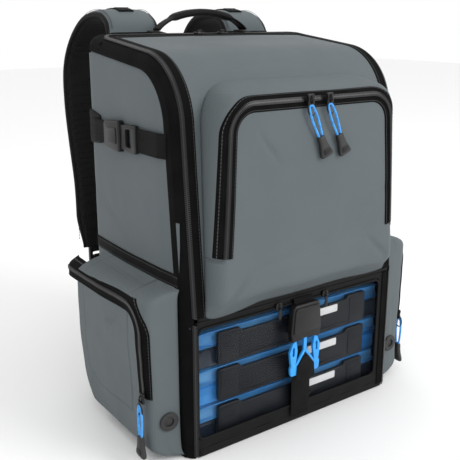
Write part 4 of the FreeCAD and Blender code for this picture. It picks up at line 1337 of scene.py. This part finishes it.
def tray(k):
    """One tackle tray: ribbed tub, stepped lid, dividers and the long snap bar."""
    (_, y0, z0), (x, y1, z1) = TRAY_BOXES[k]
    seam = z0 + 24.5
    number = k + 1
    tub = [(3.0, z0 + 0.2), (1.4, z0 + 2.0), (0.9, seam - 4.4), (0, seam - 4.0), (0, seam - 0.3),
           (2.4, seam - 0.3), (2.9, seam - 4.0), (3.4, z0 + 2.6), (5.0, z0 + 1.8)]
    finish = "tray_blue" if number == 2 else "tray_smoke"
    base = shell("tray_tub_%d" % number, tub, finish, x, y0, y1, 7)
    parts = []
    depth = (y1 - y0 - 4) / 3
    for row in (1, 2):
        wall = y0 + 2 + row * depth
        parts.append(plate("wall", [(-x + 3, z0 + 2), (x - 3, z0 + 2), (x - 3, seam - 2), (-x + 3, seam - 2)],
                           lambda a, b, up, wall=wall: Vector((a, wall + up, b)), -0.7, 0.7, finish, 0.3))
    for column in range(-4, 5):
        at_x = column * 28.5
        parts.append(plate("wall",
                           [(y0 + 5, z0 + 2), (y1 - 5, z0 + 2), (y1 - 5, seam - 4), (y0 + 5, seam - 4)],
                           lambda a, b, up, at_x=at_x: Vector((at_x + up, a, b)), -0.5, 0.5, "tray_clear",
                           0.2))
    base_all = joined("tray_base_look_%d" % number, [base] + parts)
    base_all["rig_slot"] = "tray_smoke"
    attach(base_all, "pack")
    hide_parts("tray_base_%d" % number)
    cover = [(2.4, seam + 0.2), (0, seam + 0.2), (0, seam + 3.2), (1.0, seam + 3.8), (1.4, z1 - 2.2),
             (2.4, z1 - 0.8),
             (4.4, z1 - 0.2), (10, z1), (12, z1 - 1.2), (13, z1 - 1.2), (13, z1 - 2.6), (3.4, z1 - 2.6),
             (2.8, seam + 3.0)]
    lid = shell("tray_lid_look_%d" % number, cover, "tray_clear", x, y0, y1, 7)
    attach(lid, "pack")
    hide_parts("tray_lid_%d" % number)
    # blue beads along the lid's two front edges: partly the lid's real lip, partly painted highlight standing
    # in for the light lines along those edges
    rim_highlights = []
    for z in (seam + 3.6, z1 - 0.9):
        points = [Vector((a, y0 - 0.1, z)) for a in steps(-x + 5, x - 5, 12)]
        rim_highlights.append(tube("rim_highlight", points, 0.75, "tray_blue", 6))
    rim_highlight = joined("tray_rims_%d" % number, rim_highlights)
    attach(rim_highlight, "pack")
    snap_bar(number, y0, z0)


def snap_bar(number, y0, z0):
    """Black bar across the tray's front with taller end blocks, ribs and a blank sticker."""
    at = front_plane(y0 - 0.2)
    outline = rounded([(-109, z0 + 3, 3), (109, z0 + 3, 3), (109, z0 + 40.5, 3), (80, z0 + 40.5, 3),
                       (77, z0 + 36, 3), (-77, z0 + 36, 3), (-80, z0 + 40.5, 3), (-109, z0 + 40.5, 3)])
    parts = [plate("bar", outline, at, 0, 5.0, "latch_black", 1.2, segments=3)]
    for side in (-1, 1):
        parts.append(plate("block", box_outline(side * 94.5 - 12, z0 + 6, side * 94.5 + 12, z0 + 38, 2.5),
                           at, 4.4, 6.0, "latch_black", 0.9))
        for row in range(4):
            z = z0 + 24 + row * 3.2
            parts.append(plate("grip",
                               [(side * 94.5 - 8, z), (side * 94.5 + 8, z), (side * 94.5 + 8, z + 1.3),
                                        (side * 94.5 - 8, z + 1.3)], at, 5.8, 6.4, "latch_black", 0.2))
    parts.append(plate("bead", [(-76, z0 + 6.4), (76, z0 + 6.4), (76, z0 + 8.2), (-76, z0 + 8.2)], at, 4.8,
                       5.7,
                       "latch_black", 0.3))
    made = joined("snap_bar_%d" % number, parts)
    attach(made, "pack")
    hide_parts("tray_latch_%d" % number)
    sticker = plate("sticker_%d" % number, box_outline(16, z0 + 25.5, 62, z0 + 34.5, 1), at, 5.6, 6.2,
                    "label_white", 0.1)
    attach(sticker, "pack")
    if number == 1:
        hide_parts("tray_labels")


# ---- side pockets ------------------------------------------------------------------------
SIDE_PLAN = Track([(-HALF + 2, FRONT + 13.5, 0), (SIDE_OUT, FRONT + 17, 10), (SIDE_OUT, BACK - 5, 19),
                   (-HALF + 2, BACK - 3, 0)])


def side_rise(z):
    """How far the pocket stands out at a height, as a share of its full depth."""
    up = min(max((z - SIDE_LOW) / 16, 0.0), 1.0)
    down = min(max((SIDE_TOP - z) / 15, 0.0), 1.0)
    lower = (1 - (1 - up) ** 2.3) ** (1 / 2.3)
    upper = (1 - (1 - down) ** 2.2) ** (1 / 2.2)
    taper = 1 - SIDE_TAPER * (SIDE_TOP - z) / (-HALF - SIDE_OUT)
    return lower * upper * taper


def heel_share(z):
    """How far back the pocket reaches at a height, as a share of its full length."""
    over = SIDE_HEEL - (z - SIDE_LOW)
    if over <= 0:
        return 1.0
    cut = SIDE_HEEL - math.sqrt(max(SIDE_HEEL ** 2 - over ** 2, 0.0))
    return 1 - cut / (BACK - FRONT)


def side_pocket_point(side):
    """Surface of a side pocket: q runs around its plan from the front, z up."""
    def place(q, z, lift=0.0):
        spot, way = SIDE_PLAN.at(q)
        out = Vector((-way.y, way.x)) * -1
        if out.x > 0 and q > 20:
            out = out * -1
        share = side_rise(z)
        x = -HALF + (spot.x + HALF) * share
        inner = min(q, SIDE_PLAN.length - q) / 30
        swell = (1.6 * ripple(q, z, 0, 55, 31.0 + side) + 0.5 * ripple(q, z, 0, 22, 35.0)) * min(inner, 1.0)
        swell -= 2.0 * bump_at(q - 95 - (z - 130) * 0.8, 0, 26) * bump_at(z - 148 + (q - 95) * 0.35, 0, 5)
        swell += 4.5 * ease((q - 75) / 70) * ease((SIDE_PLAN.length - q) / 30) * bump_at(z, 118, 100)
        swell *= share
        tilt = (side_rise(z + 1.0) - side_rise(z - 1.0)) / 2 * (spot.x + HALF)
        normal = Vector((out.x, out.y, tilt * out.x)).normalized()
        y = FRONT + (spot.y - FRONT) * heel_share(z)
        full = Vector((x, y, z)) + normal * (swell + lift)
        return Vector((-side * full.x, full.y, full.z))
    return place


ZIP_LEG = SIDE_PLAN.find(1, SIDE_ZIP_Y, 30) - 4.5   # the zip's upright run, along the plan
ZIP_END = SIDE_PLAN.find(1, SIDE_ZIP_REAR, 60) + 14
ZIP_BEND = 30.0
# Coil line of a side pocket in (q, z), from its low end up and then back.
SIDE_ZIP = Track([(ZIP_LEG, SIDE_ZIP_LOW - 2, 0), (ZIP_LEG, SIDE_ZIP_Z, ZIP_BEND), (ZIP_END, SIDE_ZIP_Z, 0)])


def side_pocket(label, side):
    place = side_pocket_point(side)
    inside = (side * (HALF - 40), -33, 100)
    rows = steps(SIDE_LOW, 30, 2.5) + steps(30, 160, 4)[1:] + steps(160, SIDE_TOP, 2.0)[1:]
    columns = steps(0, SIDE_PLAN.length, 3.0)

    def line_z(q):
        """Height of the zip's coil line above each place along the plan."""
        over = (ZIP_LEG + ZIP_BEND) - q
        drop = ZIP_BEND - math.sqrt(max(ZIP_BEND ** 2 - over * over, 0)) if over > 0 else 0
        return SIDE_ZIP_Z - drop

    def panel_cell(z, q):
        """Outer panel: behind the zip's leg and under its top run."""
        return q > ZIP_LEG and (z < line_z(q) or q > ZIP_END)

    outer = cloth("side_pocket_panel_" + label, rows, columns, place, "grey_fabric", 1.6, "lining",
                  keep=lambda z, q: z >= SIDE_ZIP_LOW - 2 and panel_cell(z, q), inside=inside)
    start = place(ZIP_LEG + 4.5, SIDE_ZIP_LOW)
    end = place(ZIP_END - 14, SIDE_ZIP_Z)
    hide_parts("side_pocket_flap_" + label)
    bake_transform(outer)
    wall = cloth("side_pocket_wall_" + label, rows, columns, place, "grey_fabric", 1.6, "lining",
                 keep=lambda z, q: z < SIDE_ZIP_LOW - 2 or not panel_cell(z, q), inside=inside)
    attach(wall, "pack")
    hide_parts("side_pocket_" + label)
    side_pocket_zip(label, side, place, inside)


def side_pocket_zip(label, side, place, inside):
    fixed = strip("side_tape_fixed_" + label, SIDE_ZIP, place, tape_columns(0.4, 11), "zip_tape", size=2.5,
                  inside=inside)
    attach(fixed, "pack")
    moving = strip("side_tape_flap_" + label, SIDE_ZIP, place, tape_columns(-0.4, -11), "zip_tape", size=2.5,
                   inside=inside)
    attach(moving, "side_pocket_flap_" + label)
    zip_halves("side_" + label, SIDE_ZIP, place, (("pack", 1), ("side_pocket_flap_" + label, -1)), TAPE_UP)
    stitched("side_tape_" + label, "pack", [stitch_blocks(SIDE_ZIP, place, 9.2, TAPE_UP)])
    grommet_q = 19.0
    centre = place(grommet_q, 47)
    right = (place(grommet_q + 1, 47) - place(grommet_q - 1, 47)).normalized()
    upward = Vector((0, 0, 1))
    out = right.cross(upward).normalized()
    if out.y > 0:
        out = -out
    ring = plate("grommet_" + label, circle(10.5, 0.18),
                 lambda a, b, up: centre + right * a + upward * b + out * up, 0.2, 2.6, "grip_black", 0.9,
                 [circle(5, 0.3)], 3)
    core = plate("grommet_core_" + label, circle(6, 0.3),
                 lambda a, b, up: centre + right * a + upward * b + out * up, 0.1, 0.9, "grip_black", 0.2)
    made = joined("drain_grommet_" + label, [ring, core])
    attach(made, "pack")
    if side < 0:
        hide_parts("pocket_grommets")
    slider_z = (low("side_slider_" + label)[2] + high("side_slider_" + label)[2]) / 2
    slider_y = (low("side_slider_" + label)[1] + high("side_slider_" + label)[1]) / 2
    inner_x = high("side_slider_left")[0] if side < 0 else low("side_slider_right")[0]
    seat = Vector((inner_x, slider_y, slider_z))
    slider("side_zip_slider_" + label, lambda a, b, up: seat + Vector((side * up, a, b)), 9, 12,
           "side_slider_" + label, "side_slider_" + label)
    face_x = -SIDE_OUT + 1 - SIDE_TAPER * (SIDE_TOP - slider_z)
    origin = Vector((side * (face_x + 5.9), slider_y, slider_z - 8))
    pull("side_pull_" + label, origin, Vector((0, 0, -1)), Vector((0, -1, 0)), Vector((side, 0, 0)),
         "side_pull_" + label, "side_pull_" + label, "side_cord_" + label)


# ---- compression straps ------------------------------------------------------------------
def compression(label, side):
    x0 = HALF + TAPE_UP
    half = 12.5
    columns = [(-half, 0.1), (-half + 0.7, 0.7), (-6, 0.9), (0, 0.9), (6, 0.9), (half - 0.7, 0.7),
               (half, 0.1)]
    male_y0, male_y1 = FRONT + 84, FRONT + 116
    female_y1 = FRONT + 152

    def surface(y, up, lift):
        rise = 3.0 * ease((y - FRONT - 33) / 12) * ease((BACK - 10 - y) / 20)
        return Vector((side * (x0 + rise + lift), y, STRAP_Z + up))

    front = strip("compression_web_front_" + label, Track([(FRONT + 31, 0, 0), (male_y0 + 8, 0, 0)]), surface,
                  columns, "webbing_black", 1.4)
    rear = strip("compression_web_rear_" + label, Track([(female_y1 - 8, 0, 0), (BACK - 12, 0, 0)]), surface,
                 columns, "webbing_black", 1.4)
    webs = joined("compression_web_" + label, [front, rear])
    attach(webs, "pack")
    at = lambda a, b, up: Vector((side * (HALF + TAPE_UP + up), a, STRAP_Z + b))
    tab = plate("compression_tab_" + label,
                rounded([(BACK - 36, -15, 2), (BACK - 9, -17, 3), (BACK - 9, 22, 3),
                                                     (BACK - 36, 16, 2)]), at, -1.2, 1.0, "black_fabric", 0.6)
    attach(tab, "pack")
    males = plate("compression_prongs_" + label,
                  rounded([(male_y0, -15, 3), (male_y1, -13, 1), (male_y1 + 17, -13, 2),
                           (male_y1 + 21, -9, 1),
                           (male_y1 + 4, -8, 2), (male_y1 + 2, -2.5, 1), (male_y1 + 17, -1.6, 0.8),
                           (male_y1 + 17, 1.6, 0.8),
                           (male_y1 + 2, 2.5, 1), (male_y1 + 4, 8, 2), (male_y1 + 21, 9, 1),
                           (male_y1 + 17, 13, 2),
                           (male_y1, 13, 1), (male_y0, 15, 3)]), at, 1.0, 5.6, "buckle_black", 0.9,
                  [rounded([(male_y0 + 10, -10, 2), (male_y0 + 22, -9, 2), (male_y0 + 22, 9, 2),
                            (male_y0 + 10, 10, 2)])])
    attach(males, "pack")
    case = plate("compression_case_" + label,
                 rounded([(male_y1 + 0.6, -17, 3), (female_y1, -14, 5), (female_y1, 14, 5),
                          (male_y1 + 0.6, 17, 3)]),
                 at, 0.6, 8.0, "buckle_black", 1.8, segments=3)
    rib = plate("compression_rib_" + label,
                rounded([(male_y1 + 6, -9, 3), (female_y1 - 8, -8, 3), (female_y1 - 8, 8, 3),
                                                     (male_y1 + 6, 9, 3)]), at, 7.6, 8.9, "buckle_black", 0.6)
    case_all = joined("compression_socket_" + label, [case, rib])
    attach(case_all, "compression_buckle_" + label)
    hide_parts("compression_female_" + label)
    if side < 0:
        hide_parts("compression_webbing")
        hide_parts("compression_males")


# ---- shoulder straps ---------------------------------------------------------------------
STRAP_LINE = [(9, 436), (20, 450), (44, 458), (81, 452), (111, 427), (124, 392), (115, 346), (96, 297),
              (76, 250), (64, 205), (60, 168)]
STRAP_FLARE = 0.12          # outward lean, mm per mm below the strap's top
STRAP_TOP = 436.0
STRAP_RUN = 400.0           # nominal length of a strap's middle line


def smooth_line(points, count):
    """Smooth points through a list, evenly spread (Catmull-Rom)."""
    knots = [points[0]] + list(points) + [points[-1]]
    result = []
    for k in range(count + 1):
        t = k / count * (len(points) - 1)
        i = min(int(t), len(points) - 2)
        f = t - i
        p0, p1, p2, p3 = knots[i:i + 4]
        result.append(0.5 * ((2 * p1) + (p2 - p0) * f + (2 * p0 - 5 * p1 + 4 * p2 - p3) * f * f
                             + (3 * p1 - p0 - 3 * p2 + p3) * f ** 3))
    return result


STRAP_CURVE = smooth_line([Vector(p) for p in STRAP_LINE], 120)


def strap_frame(t, side):
    """Middle point, downward direction, outward direction and sideways lean of a strap."""
    line = STRAP_CURVE
    i = min(max(t, 0.0), 1.0) * (len(line) - 1)
    k = min(int(i), len(line) - 2)
    spot = line[k].lerp(line[k + 1], i - k)
    way = (line[min(k + 2, len(line) - 1)] - line[max(k - 1, 0)]).normalized()
    out = Vector((-way.y, way.x))
    centre = side * (STRAP_X + STRAP_FLARE * (STRAP_TOP - spot.y))
    return Vector((centre, BACK + spot.x, spot.y)), Vector((0, way.x, way.y)), Vector((0, out.x, out.y))


def strap_surface(side):
    """Surface on a strap's outer face: t mm down the strap, a mm across it."""
    def place(t, a, lift=0.0):
        spot, _, out = strap_frame(t / STRAP_RUN, side)
        half = strap_half(t / STRAP_RUN)
        crown = 1.4 * max(0.0, 1 - (a / half) ** 2)
        return spot + Vector((a, 0, 0)) + out * (strap_thick(t / STRAP_RUN) / 2 - 1.0 + crown + lift)
    return place


def strap_half(t):
    """Half-width of a strap, narrowing to its lower end; t is the share of its length."""
    return 35.0 * (1.0 - 0.30 * ease((t - 0.88) / 0.12) - 0.03 * math.sin(t * 9))


def strap_thick(t):
    """Thickness of a strap, thin at both sewn ends."""
    return 12.5 - 5.5 * ease((t - 0.92) / 0.08) - 5.5 * ease((0.07 - t) / 0.07)


def shoulder_strap(label, side):
    """Padded strap: grey outer face, mesh towards the wearer, black binding along both edges."""
    count, around = 90, 36
    verts, faces, kinds = [], [], []
    for i in range(count + 1):
        t = i / count
        spot, _, out = strap_frame(t, side)
        half, thick = strap_half(t), strap_thick(t) / 2
        for k in range(around):
            angle = 2 * math.pi * k / around
            flat, up = squarish(angle, 0.42, 0.8)
            pinch = 1 - 0.35 * bump_at(abs(flat), 0.90, 0.08)
            puff = 0.5 * ripple(flat * 30, t * 330, 0, 26, 50.0 + side) * (1 - abs(flat))
            verts.append(spot + Vector((half * flat, 0, 0)) + out * (thick * up * pinch + puff))
            if i < count:
                a, b = i * around + k, i * around + (k + 1) % around
                faces.append((a, b, b + around, a + around))
                edge = abs(math.cos(angle + math.pi / around)) ** 0.42 > 0.90
                kinds.append(1 if edge else (0 if math.sin(angle) >= 0 else 2))
    faces.append(tuple(range(around)))
    faces.append(tuple(reversed(range(count * around, (count + 1) * around))))
    kinds += [1, 1]
    made = piece("shoulder_pad_" + label, verts, faces, "mesh_pad")
    made.data.materials.clear()
    for finish in ("grey_fabric", "black_fabric", "mesh_pad"):
        made.data.materials.append(MATERIALS[finish])
    for face, kind in zip(made.data.polygons, kinds):
        face.material_index = kind
    face_outward(made)
    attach(made, "shoulder_strap_" + label)
    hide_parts("shoulder_strap_" + label)
    surface = strap_surface(side)
    web = strip("strap_ladder_web_" + label, Track([(60, 0, 0), (STRAP_RUN - 2, 0, 0)]), surface,
                [(-10, 0.3), (-9.2, 1.3), (-4, 1.5), (0, 1.5), (4, 1.5), (9.2, 1.3), (10, 0.3)],
                "webbing_black", 1.2, inside=(side * STRAP_X, BACK + 40, 330))
    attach(web, "shoulder_strap_" + label)
    line = Track([(14, 0, 0), (STRAP_RUN - 14, 0, 0)])
    stitched("strap_edge_" + label, "shoulder_strap_" + label,
             [stitch_blocks(line, surface, offset, 0.2) for offset in (-28.5, 28.5)])
    bars = []
    for run in (78, 112, 146, 180, 214, 248):
        bars.append([surface(run + dr, a, lift) for lift in (2.1, 1.4) for a in (-9.4, 9.4) for dr in (-0.7,
                                                                                                       0.7)])
    tacks = small_blocks("strap_bartacks_" + label, bars, "thread")
    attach(tacks, "shoulder_strap_" + label)
    ladder_lock(label, side)


def ladder_lock(label, side):
    """Three-bar buckle at the strap's lower end, and the adjusting webbing down to the base."""
    end_y, end_z = STRAP_LINE[-1]
    x = side * (STRAP_X + STRAP_FLARE * (STRAP_TOP - end_z))
    y = BACK + end_y - 1

    def at(a, b, up):
        return Vector((x + a, y + up, end_z + b))

    outline = rounded([(-17, -26, 3), (17, -26, 3), (17, 1, 2), (-17, 1, 2)])
    holes = [box_outline(-13, low_z, 13, low_z + 5, 1)
             for low_z in (-22, -12)]
    lock = plate("ladder_lock_" + label, outline, at, -2.6, 2.6, "buckle_black", 1.0, holes, 3)
    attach(lock, "shoulder_strap_" + label)
    top_x, low_x, low_z = x, side * 130.0, 34.0
    line = smooth_line([Vector((end_y - 6.5, end_z - 9)), Vector((end_y - 14, end_z - 44)), Vector((28, 82)),
                        Vector((10, 46)), Vector((5.4, low_z))], 60)
    verts, uvs = [], []
    offsets = (-12.5, -11.6, -6, 0, 6, 11.6, 12.5)
    for i, spot in enumerate(line):
        share = (spot.y - low_z) / (end_z - 9 - low_z)
        centre = low_x + (top_x - low_x) * share
        for offset in offsets:
            verts.append(Vector((centre + offset, BACK + spot.x + 0.25 * math.sin(i * 0.4 + offset * 0.1),
                                 spot.y)))
            uvs.append((i * 2.5, offset))
    web = piece("strap_web_" + label, verts, grid_faces(len(line), len(offsets)), "webbing_black", uvs,
                inside=(low_x, 0, 120))
    thicken(web, 1.7)
    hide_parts("strap_webbing_" + label)
    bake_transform(web)


def anchors():
    """Sewn patches under the strap tops and folded triangular tabs at the bottom corners."""
    parts = []
    for side in (-1, 1):
        line = Track([(side * STRAP_X - 35, 0, 0), (side * STRAP_X + 35, 0, 0)])
        patch = strip("patch", line, lambda x, up, lift: Vector((x, BACK + 0.4 + lift, 413.8 + up)),
                      [(-6, 0.2), (-5, 1.0), (0, 1.1), (5, 1.0), (6, 0.2)], "webbing_black", 1.0)
        parts.append(patch)
        outline = rounded([(side * 129 - 17, 8, 2), (side * 129 + 17, 8, 2), (side * 130 + 13, 33, 2),
                           (side * 130 - 13, 33, 2)])
        parts.append(plate("tab", outline, lambda a, b, up: Vector((a, BACK + up, b)), 0.4, 3.0,
                           "black_fabric", 0.8))
    made = joined("strap_anchor_patches", parts)
    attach(made, "pack")
    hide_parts("strap_anchors")
    lines = []
    for side in (-1, 1):
        for up in (-4, 4):
            line = Track([(side * STRAP_X - 32, up, 0), (side * STRAP_X + 32, up, 0)])
            lines.append(stitch_blocks(line, lambda x, z, lift: Vector((x, BACK + 0.5 + lift, 413.8 + z)), 0,
                                       1.1))
    stitched("anchor", "pack", lines)


def handle():
    """Grab handle: webbing arch with a padded sleeve around its middle."""
    feet, rise, z0 = 63.0, 20.0, 440.6
    middle_y = BACK - 11.5

    def arch(share):
        angle = (share - 0.5) * 2
        x = feet * math.sin(angle * 1.15) / math.sin(1.15)
        z = z0 + rise * (math.cos(angle * 1.15) - math.cos(1.15)) / (1 - math.cos(1.15))
        return x, z

    rings = []
    count = 44
    for i in range(count + 1):
        share = i / count
        x, z = arch(share)
        before, after = arch(share - 0.01), arch(share + 0.01)
        way = Vector((after[0] - before[0], 0, after[1] - before[1])).normalized()
        up = Vector((-way.z, 0, way.x))
        sleeve = ease((share - 0.2) / 0.04) * ease((0.8 - share) / 0.04)
        wide, thick = 8.3 - 0.6 * sleeve, 1.4 + 2.9 * sleeve
        ring = []
        for k in range(24):
            flat, tall = squarish(2 * math.pi * k / 24, 0.4 + 0.35 * sleeve, 0.8)
            ring.append(Vector((x, middle_y, z)) + Vector((0, wide * flat, 0)) + up * (thick * tall))
        rings.append(ring)
    made = loft("grab_handle", rings, "black_fabric")
    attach(made, "handle")
    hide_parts("carry_handle")
    lines = []
    for offset in (-5.2, 5.2):
        blocks = []
        for k in range(26):
            share = 0.24 + 0.52 * (k + 0.5) / 26
            x, z = arch(share)
            blocks.append([Vector((x + dx, middle_y + offset + dy, z + 3.55 + dz))
                           for dz in (0.5, -0.2) for dy in (-0.3, 0.3) for dx in (-1.1, 1.1)])
        lines.append(blocks)
    stitched("grab_handle", "handle", lines)
    for label, side in SIDES:
        x = side * feet
        foot = plate("handle_foot_" + label, box_outline(x - 8, BACK - 24, x + 8, BACK - 1, 2),
                     lambda a, b, up: Vector((a, b, lid_z(b) + up)), 0.2, 2.0, "black_fabric", 0.7)
        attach(foot, "pack")


def lid_z(y):
    """Height of the sloping lid at a depth."""
    return TOP_BACK - (BACK - y) * (TOP_BACK - TOP_FRONT) / (BACK - FRONT - LEAN)


def lid_sliders():
    slope = (TOP_BACK - TOP_FRONT) / (BACK - FRONT - LEAN)
    ahead = Vector((0, 1, slope)).normalized()
    out = Vector((0, -slope, 1)).normalized()
    for label, side in SIDES:
        seat = Vector((17.0 * side, BACK - LID_BACK - 4.5, lid_z(BACK - LID_BACK - 4.5))) + out * 1.0
        slider("lid_zip_" + label, lambda a, b, up,
               seat=seat: seat + Vector((b * side, 0, 0)) + ahead * a + out * up,
               10, 12, "lid_slider_" + label, "lid_slider_" + label)


def soft_block(name, lowest, highest, radius, finish, cell=6.0):
    """Rounded block as a start for a pad: a box of cells pushed in to round its edges."""
    work = bmesh.new()
    bmesh.ops.create_cube(work, size=1.0)
    middle = (Vector(lowest) + Vector(highest)) / 2
    half = (Vector(highest) - Vector(lowest)) / 2
    cuts = max(2, int(max(half) * 2 / cell / 4))
    bmesh.ops.subdivide_edges(work, edges=work.edges, cuts=cuts, use_grid_fill=True)
    for vert in work.verts:
        spot = Vector([vert.co[i] * 2 * half[i] for i in range(3)])
        core = Vector([min(max(spot[i], -(half[i] - radius)), half[i] - radius) for i in range(3)])
        away = spot - core
        if away.length > 0:
            spot = core + away.normalized() * radius
        vert.co = (middle + spot) * 0.001
    mesh = bpy.data.meshes.new(name)
    work.to_mesh(mesh)
    work.free()
    mesh.materials.append(MATERIALS[finish])
    made = new_object(name, mesh)
    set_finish(made, finish)
    return made


def inflate(made, cap, pressure=4.0):
    """Fill a soft block by cloth simulation; no point moves further than cap mm."""
    remesh = made.modifiers.new("remesh", "REMESH")
    remesh.mode = "VOXEL"
    remesh.voxel_size = 0.005
    apply_modifiers(made)
    before = [v.co.copy() for v in made.data.vertices]
    cloth_sim = made.modifiers.new("cloth", "CLOTH")
    settings = cloth_sim.settings
    settings.use_pressure = True
    settings.uniform_pressure_force = pressure
    settings.effector_weights.gravity = 0
    scene = bpy.context.scene
    for frame_number in range(1, 21):
        scene.frame_set(frame_number)
    apply_modifiers(made)
    scene.frame_set(1)
    for vert, start in zip(made.data.vertices, before):
        moved = vert.co - start
        if moved.length > cap * 0.001:
            vert.co = start + moved.normalized() * cap * 0.001


def back_pads():
    """Mesh pads on the back: two columns and a lumbar pad, each with sewn channels."""
    pads = [("column_left", (-121, 151.5), (-23, 400), (208, 266, 324)),
            ("column_right", (23, 151.5), (121, 400), (208, 266, 324)),
            ("lumbar", (-109, 35.5), (109, 134.5), (85,))]
    for name, (x0, z0), (x1, z1), channels in pads:
        made = soft_block("pad_" + name, (x0, BACK + 1.0, z0), (x1, BACK + 12.5, z1), 5.6, "mesh_pad")
        inflate(made, 5.0)
        for vert in made.data.vertices:
            spot = vert.co * 1000
            over = (spot.y - BACK) / 13
            edge = min(spot.x - x0, x1 - spot.x, spot.z - z0, z1 - spot.z)
            groove = 0.0
            for channel in channels:
                groove = max(groove, bump_at(spot.z, channel, 9.0))
            groove = max(groove, 0.8 * bump_at(edge, 11, 5.0))
            drop = 6.5 * groove * max(over - 0.35, 0.0)
            vert.co.y -= drop * 0.001
            vert.co.y = max(vert.co.y, (BACK + 0.5) * 0.001)
        smoothed(made)
        for face in made.data.polygons:
            face.use_smooth = True
        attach(made, "pack")
        if name == "column_left":
            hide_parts("back_pads")
        edge_line = box_outline(x0 + 1, z0 + 1, x1 - 1, z1 - 1, 8, 3)
        piping("pad_edge_" + name, [Vector((p.x, BACK + 1.6, p.y)) for p in edge_line] +
               [Vector((edge_line[0].x, BACK + 1.6, edge_line[0].y))], 1.5)


# ---- stage -------------------------------------------------------------------------------
def floor():
    verts = [(-6000, -6000, 0), (6000, -6000, 0), (6000, 6000, 0), (-6000, 6000, 0)]
    mesh = bpy.data.meshes.new("floor")
    mesh.from_pydata([Vector(v) * 0.001 for v in verts], [], [(0, 1, 2, 3)])
    material = new_material("floor_paper", (0.92, 0.92, 0.92), 0.8, specular=0.1)
    mesh.materials.append(material)
    made = new_object("floor", mesh)
    made.location.z = -0.0002   # a hair under the pack's feet


def area_light(name, place, aim, size, power):
    data = bpy.data.lights.new(name, "AREA")
    data.shape = "RECTANGLE"
    data.size, data.size_y = size
    data.energy = power
    lamp = new_object(name, data)
    lamp.location = place
    lamp.rotation_euler = (Vector(aim) - Vector(place)).to_track_quat("-Z", "Y").to_euler()


def lights():
    bpy.context.scene.view_settings.view_transform = "Standard"
    world = bpy.data.worlds.new("studio")
    world.use_nodes = True
    back = world.node_tree.nodes["Background"]
    back.inputs["Color"].default_value = (1.0, 1.0, 1.0, 1)
    back.inputs["Strength"].default_value = 1.0
    bpy.context.scene.world = world
    area_light("key", (1.3, -2.3, 1.6), (0, 0, 0.2), (1.4, 1.4), 40)
    area_light("top", (-0.3, -0.2, 2.6), (0, 0, 0.3), (1.2, 1.2), 4)
    area_light("edge", (-2.4, -0.3, 1.2), (0, 0, 0.2), (0.5, 1.6), 1)


def camera():
    """A standing view from the front left, a little above."""
    turn, rise, distance = math.radians(-35.6), math.radians(16.2), 0.89
    target = Vector((-0.0129, -0.0381, 0.2057))
    away = Vector((math.sin(turn) * math.cos(rise), -math.cos(turn) * math.cos(rise), math.sin(rise)))
    data = bpy.data.cameras.new("camera")
    data.lens = 57.1
    data.sensor_width = 36
    made = new_object("camera", data)
    made.location = target + away * distance
    made.rotation_euler = (-away).to_track_quat("-Z", "Y").to_euler()
    bpy.context.scene.camera = made


# ---- everything --------------------------------------------------------------------------
camera()
front_pulls()
flap_cloth()
main_zip()
fixed_tapes()
back_cloth()
base_cloth()
shelf_cloth()
fold_strips()
front_pocket_cloth()
front_pocket_zip()
door_cloth()
door_zip()
centre_strap()
centre_buckle()
door_sliders()
for tray_number in range(3):
    tray(tray_number)
for side_label, side_sign in SIDES:
    side_cloth(side_label, side_sign)
    rear_piping(side_label, side_sign)
    pocket_binding(side_label, side_sign)
    side_pocket(side_label, side_sign)
    compression(side_label, side_sign)
    shoulder_strap(side_label, side_sign)
anchors()
handle()
lid_sliders()
back_pads()
floor()
lights()
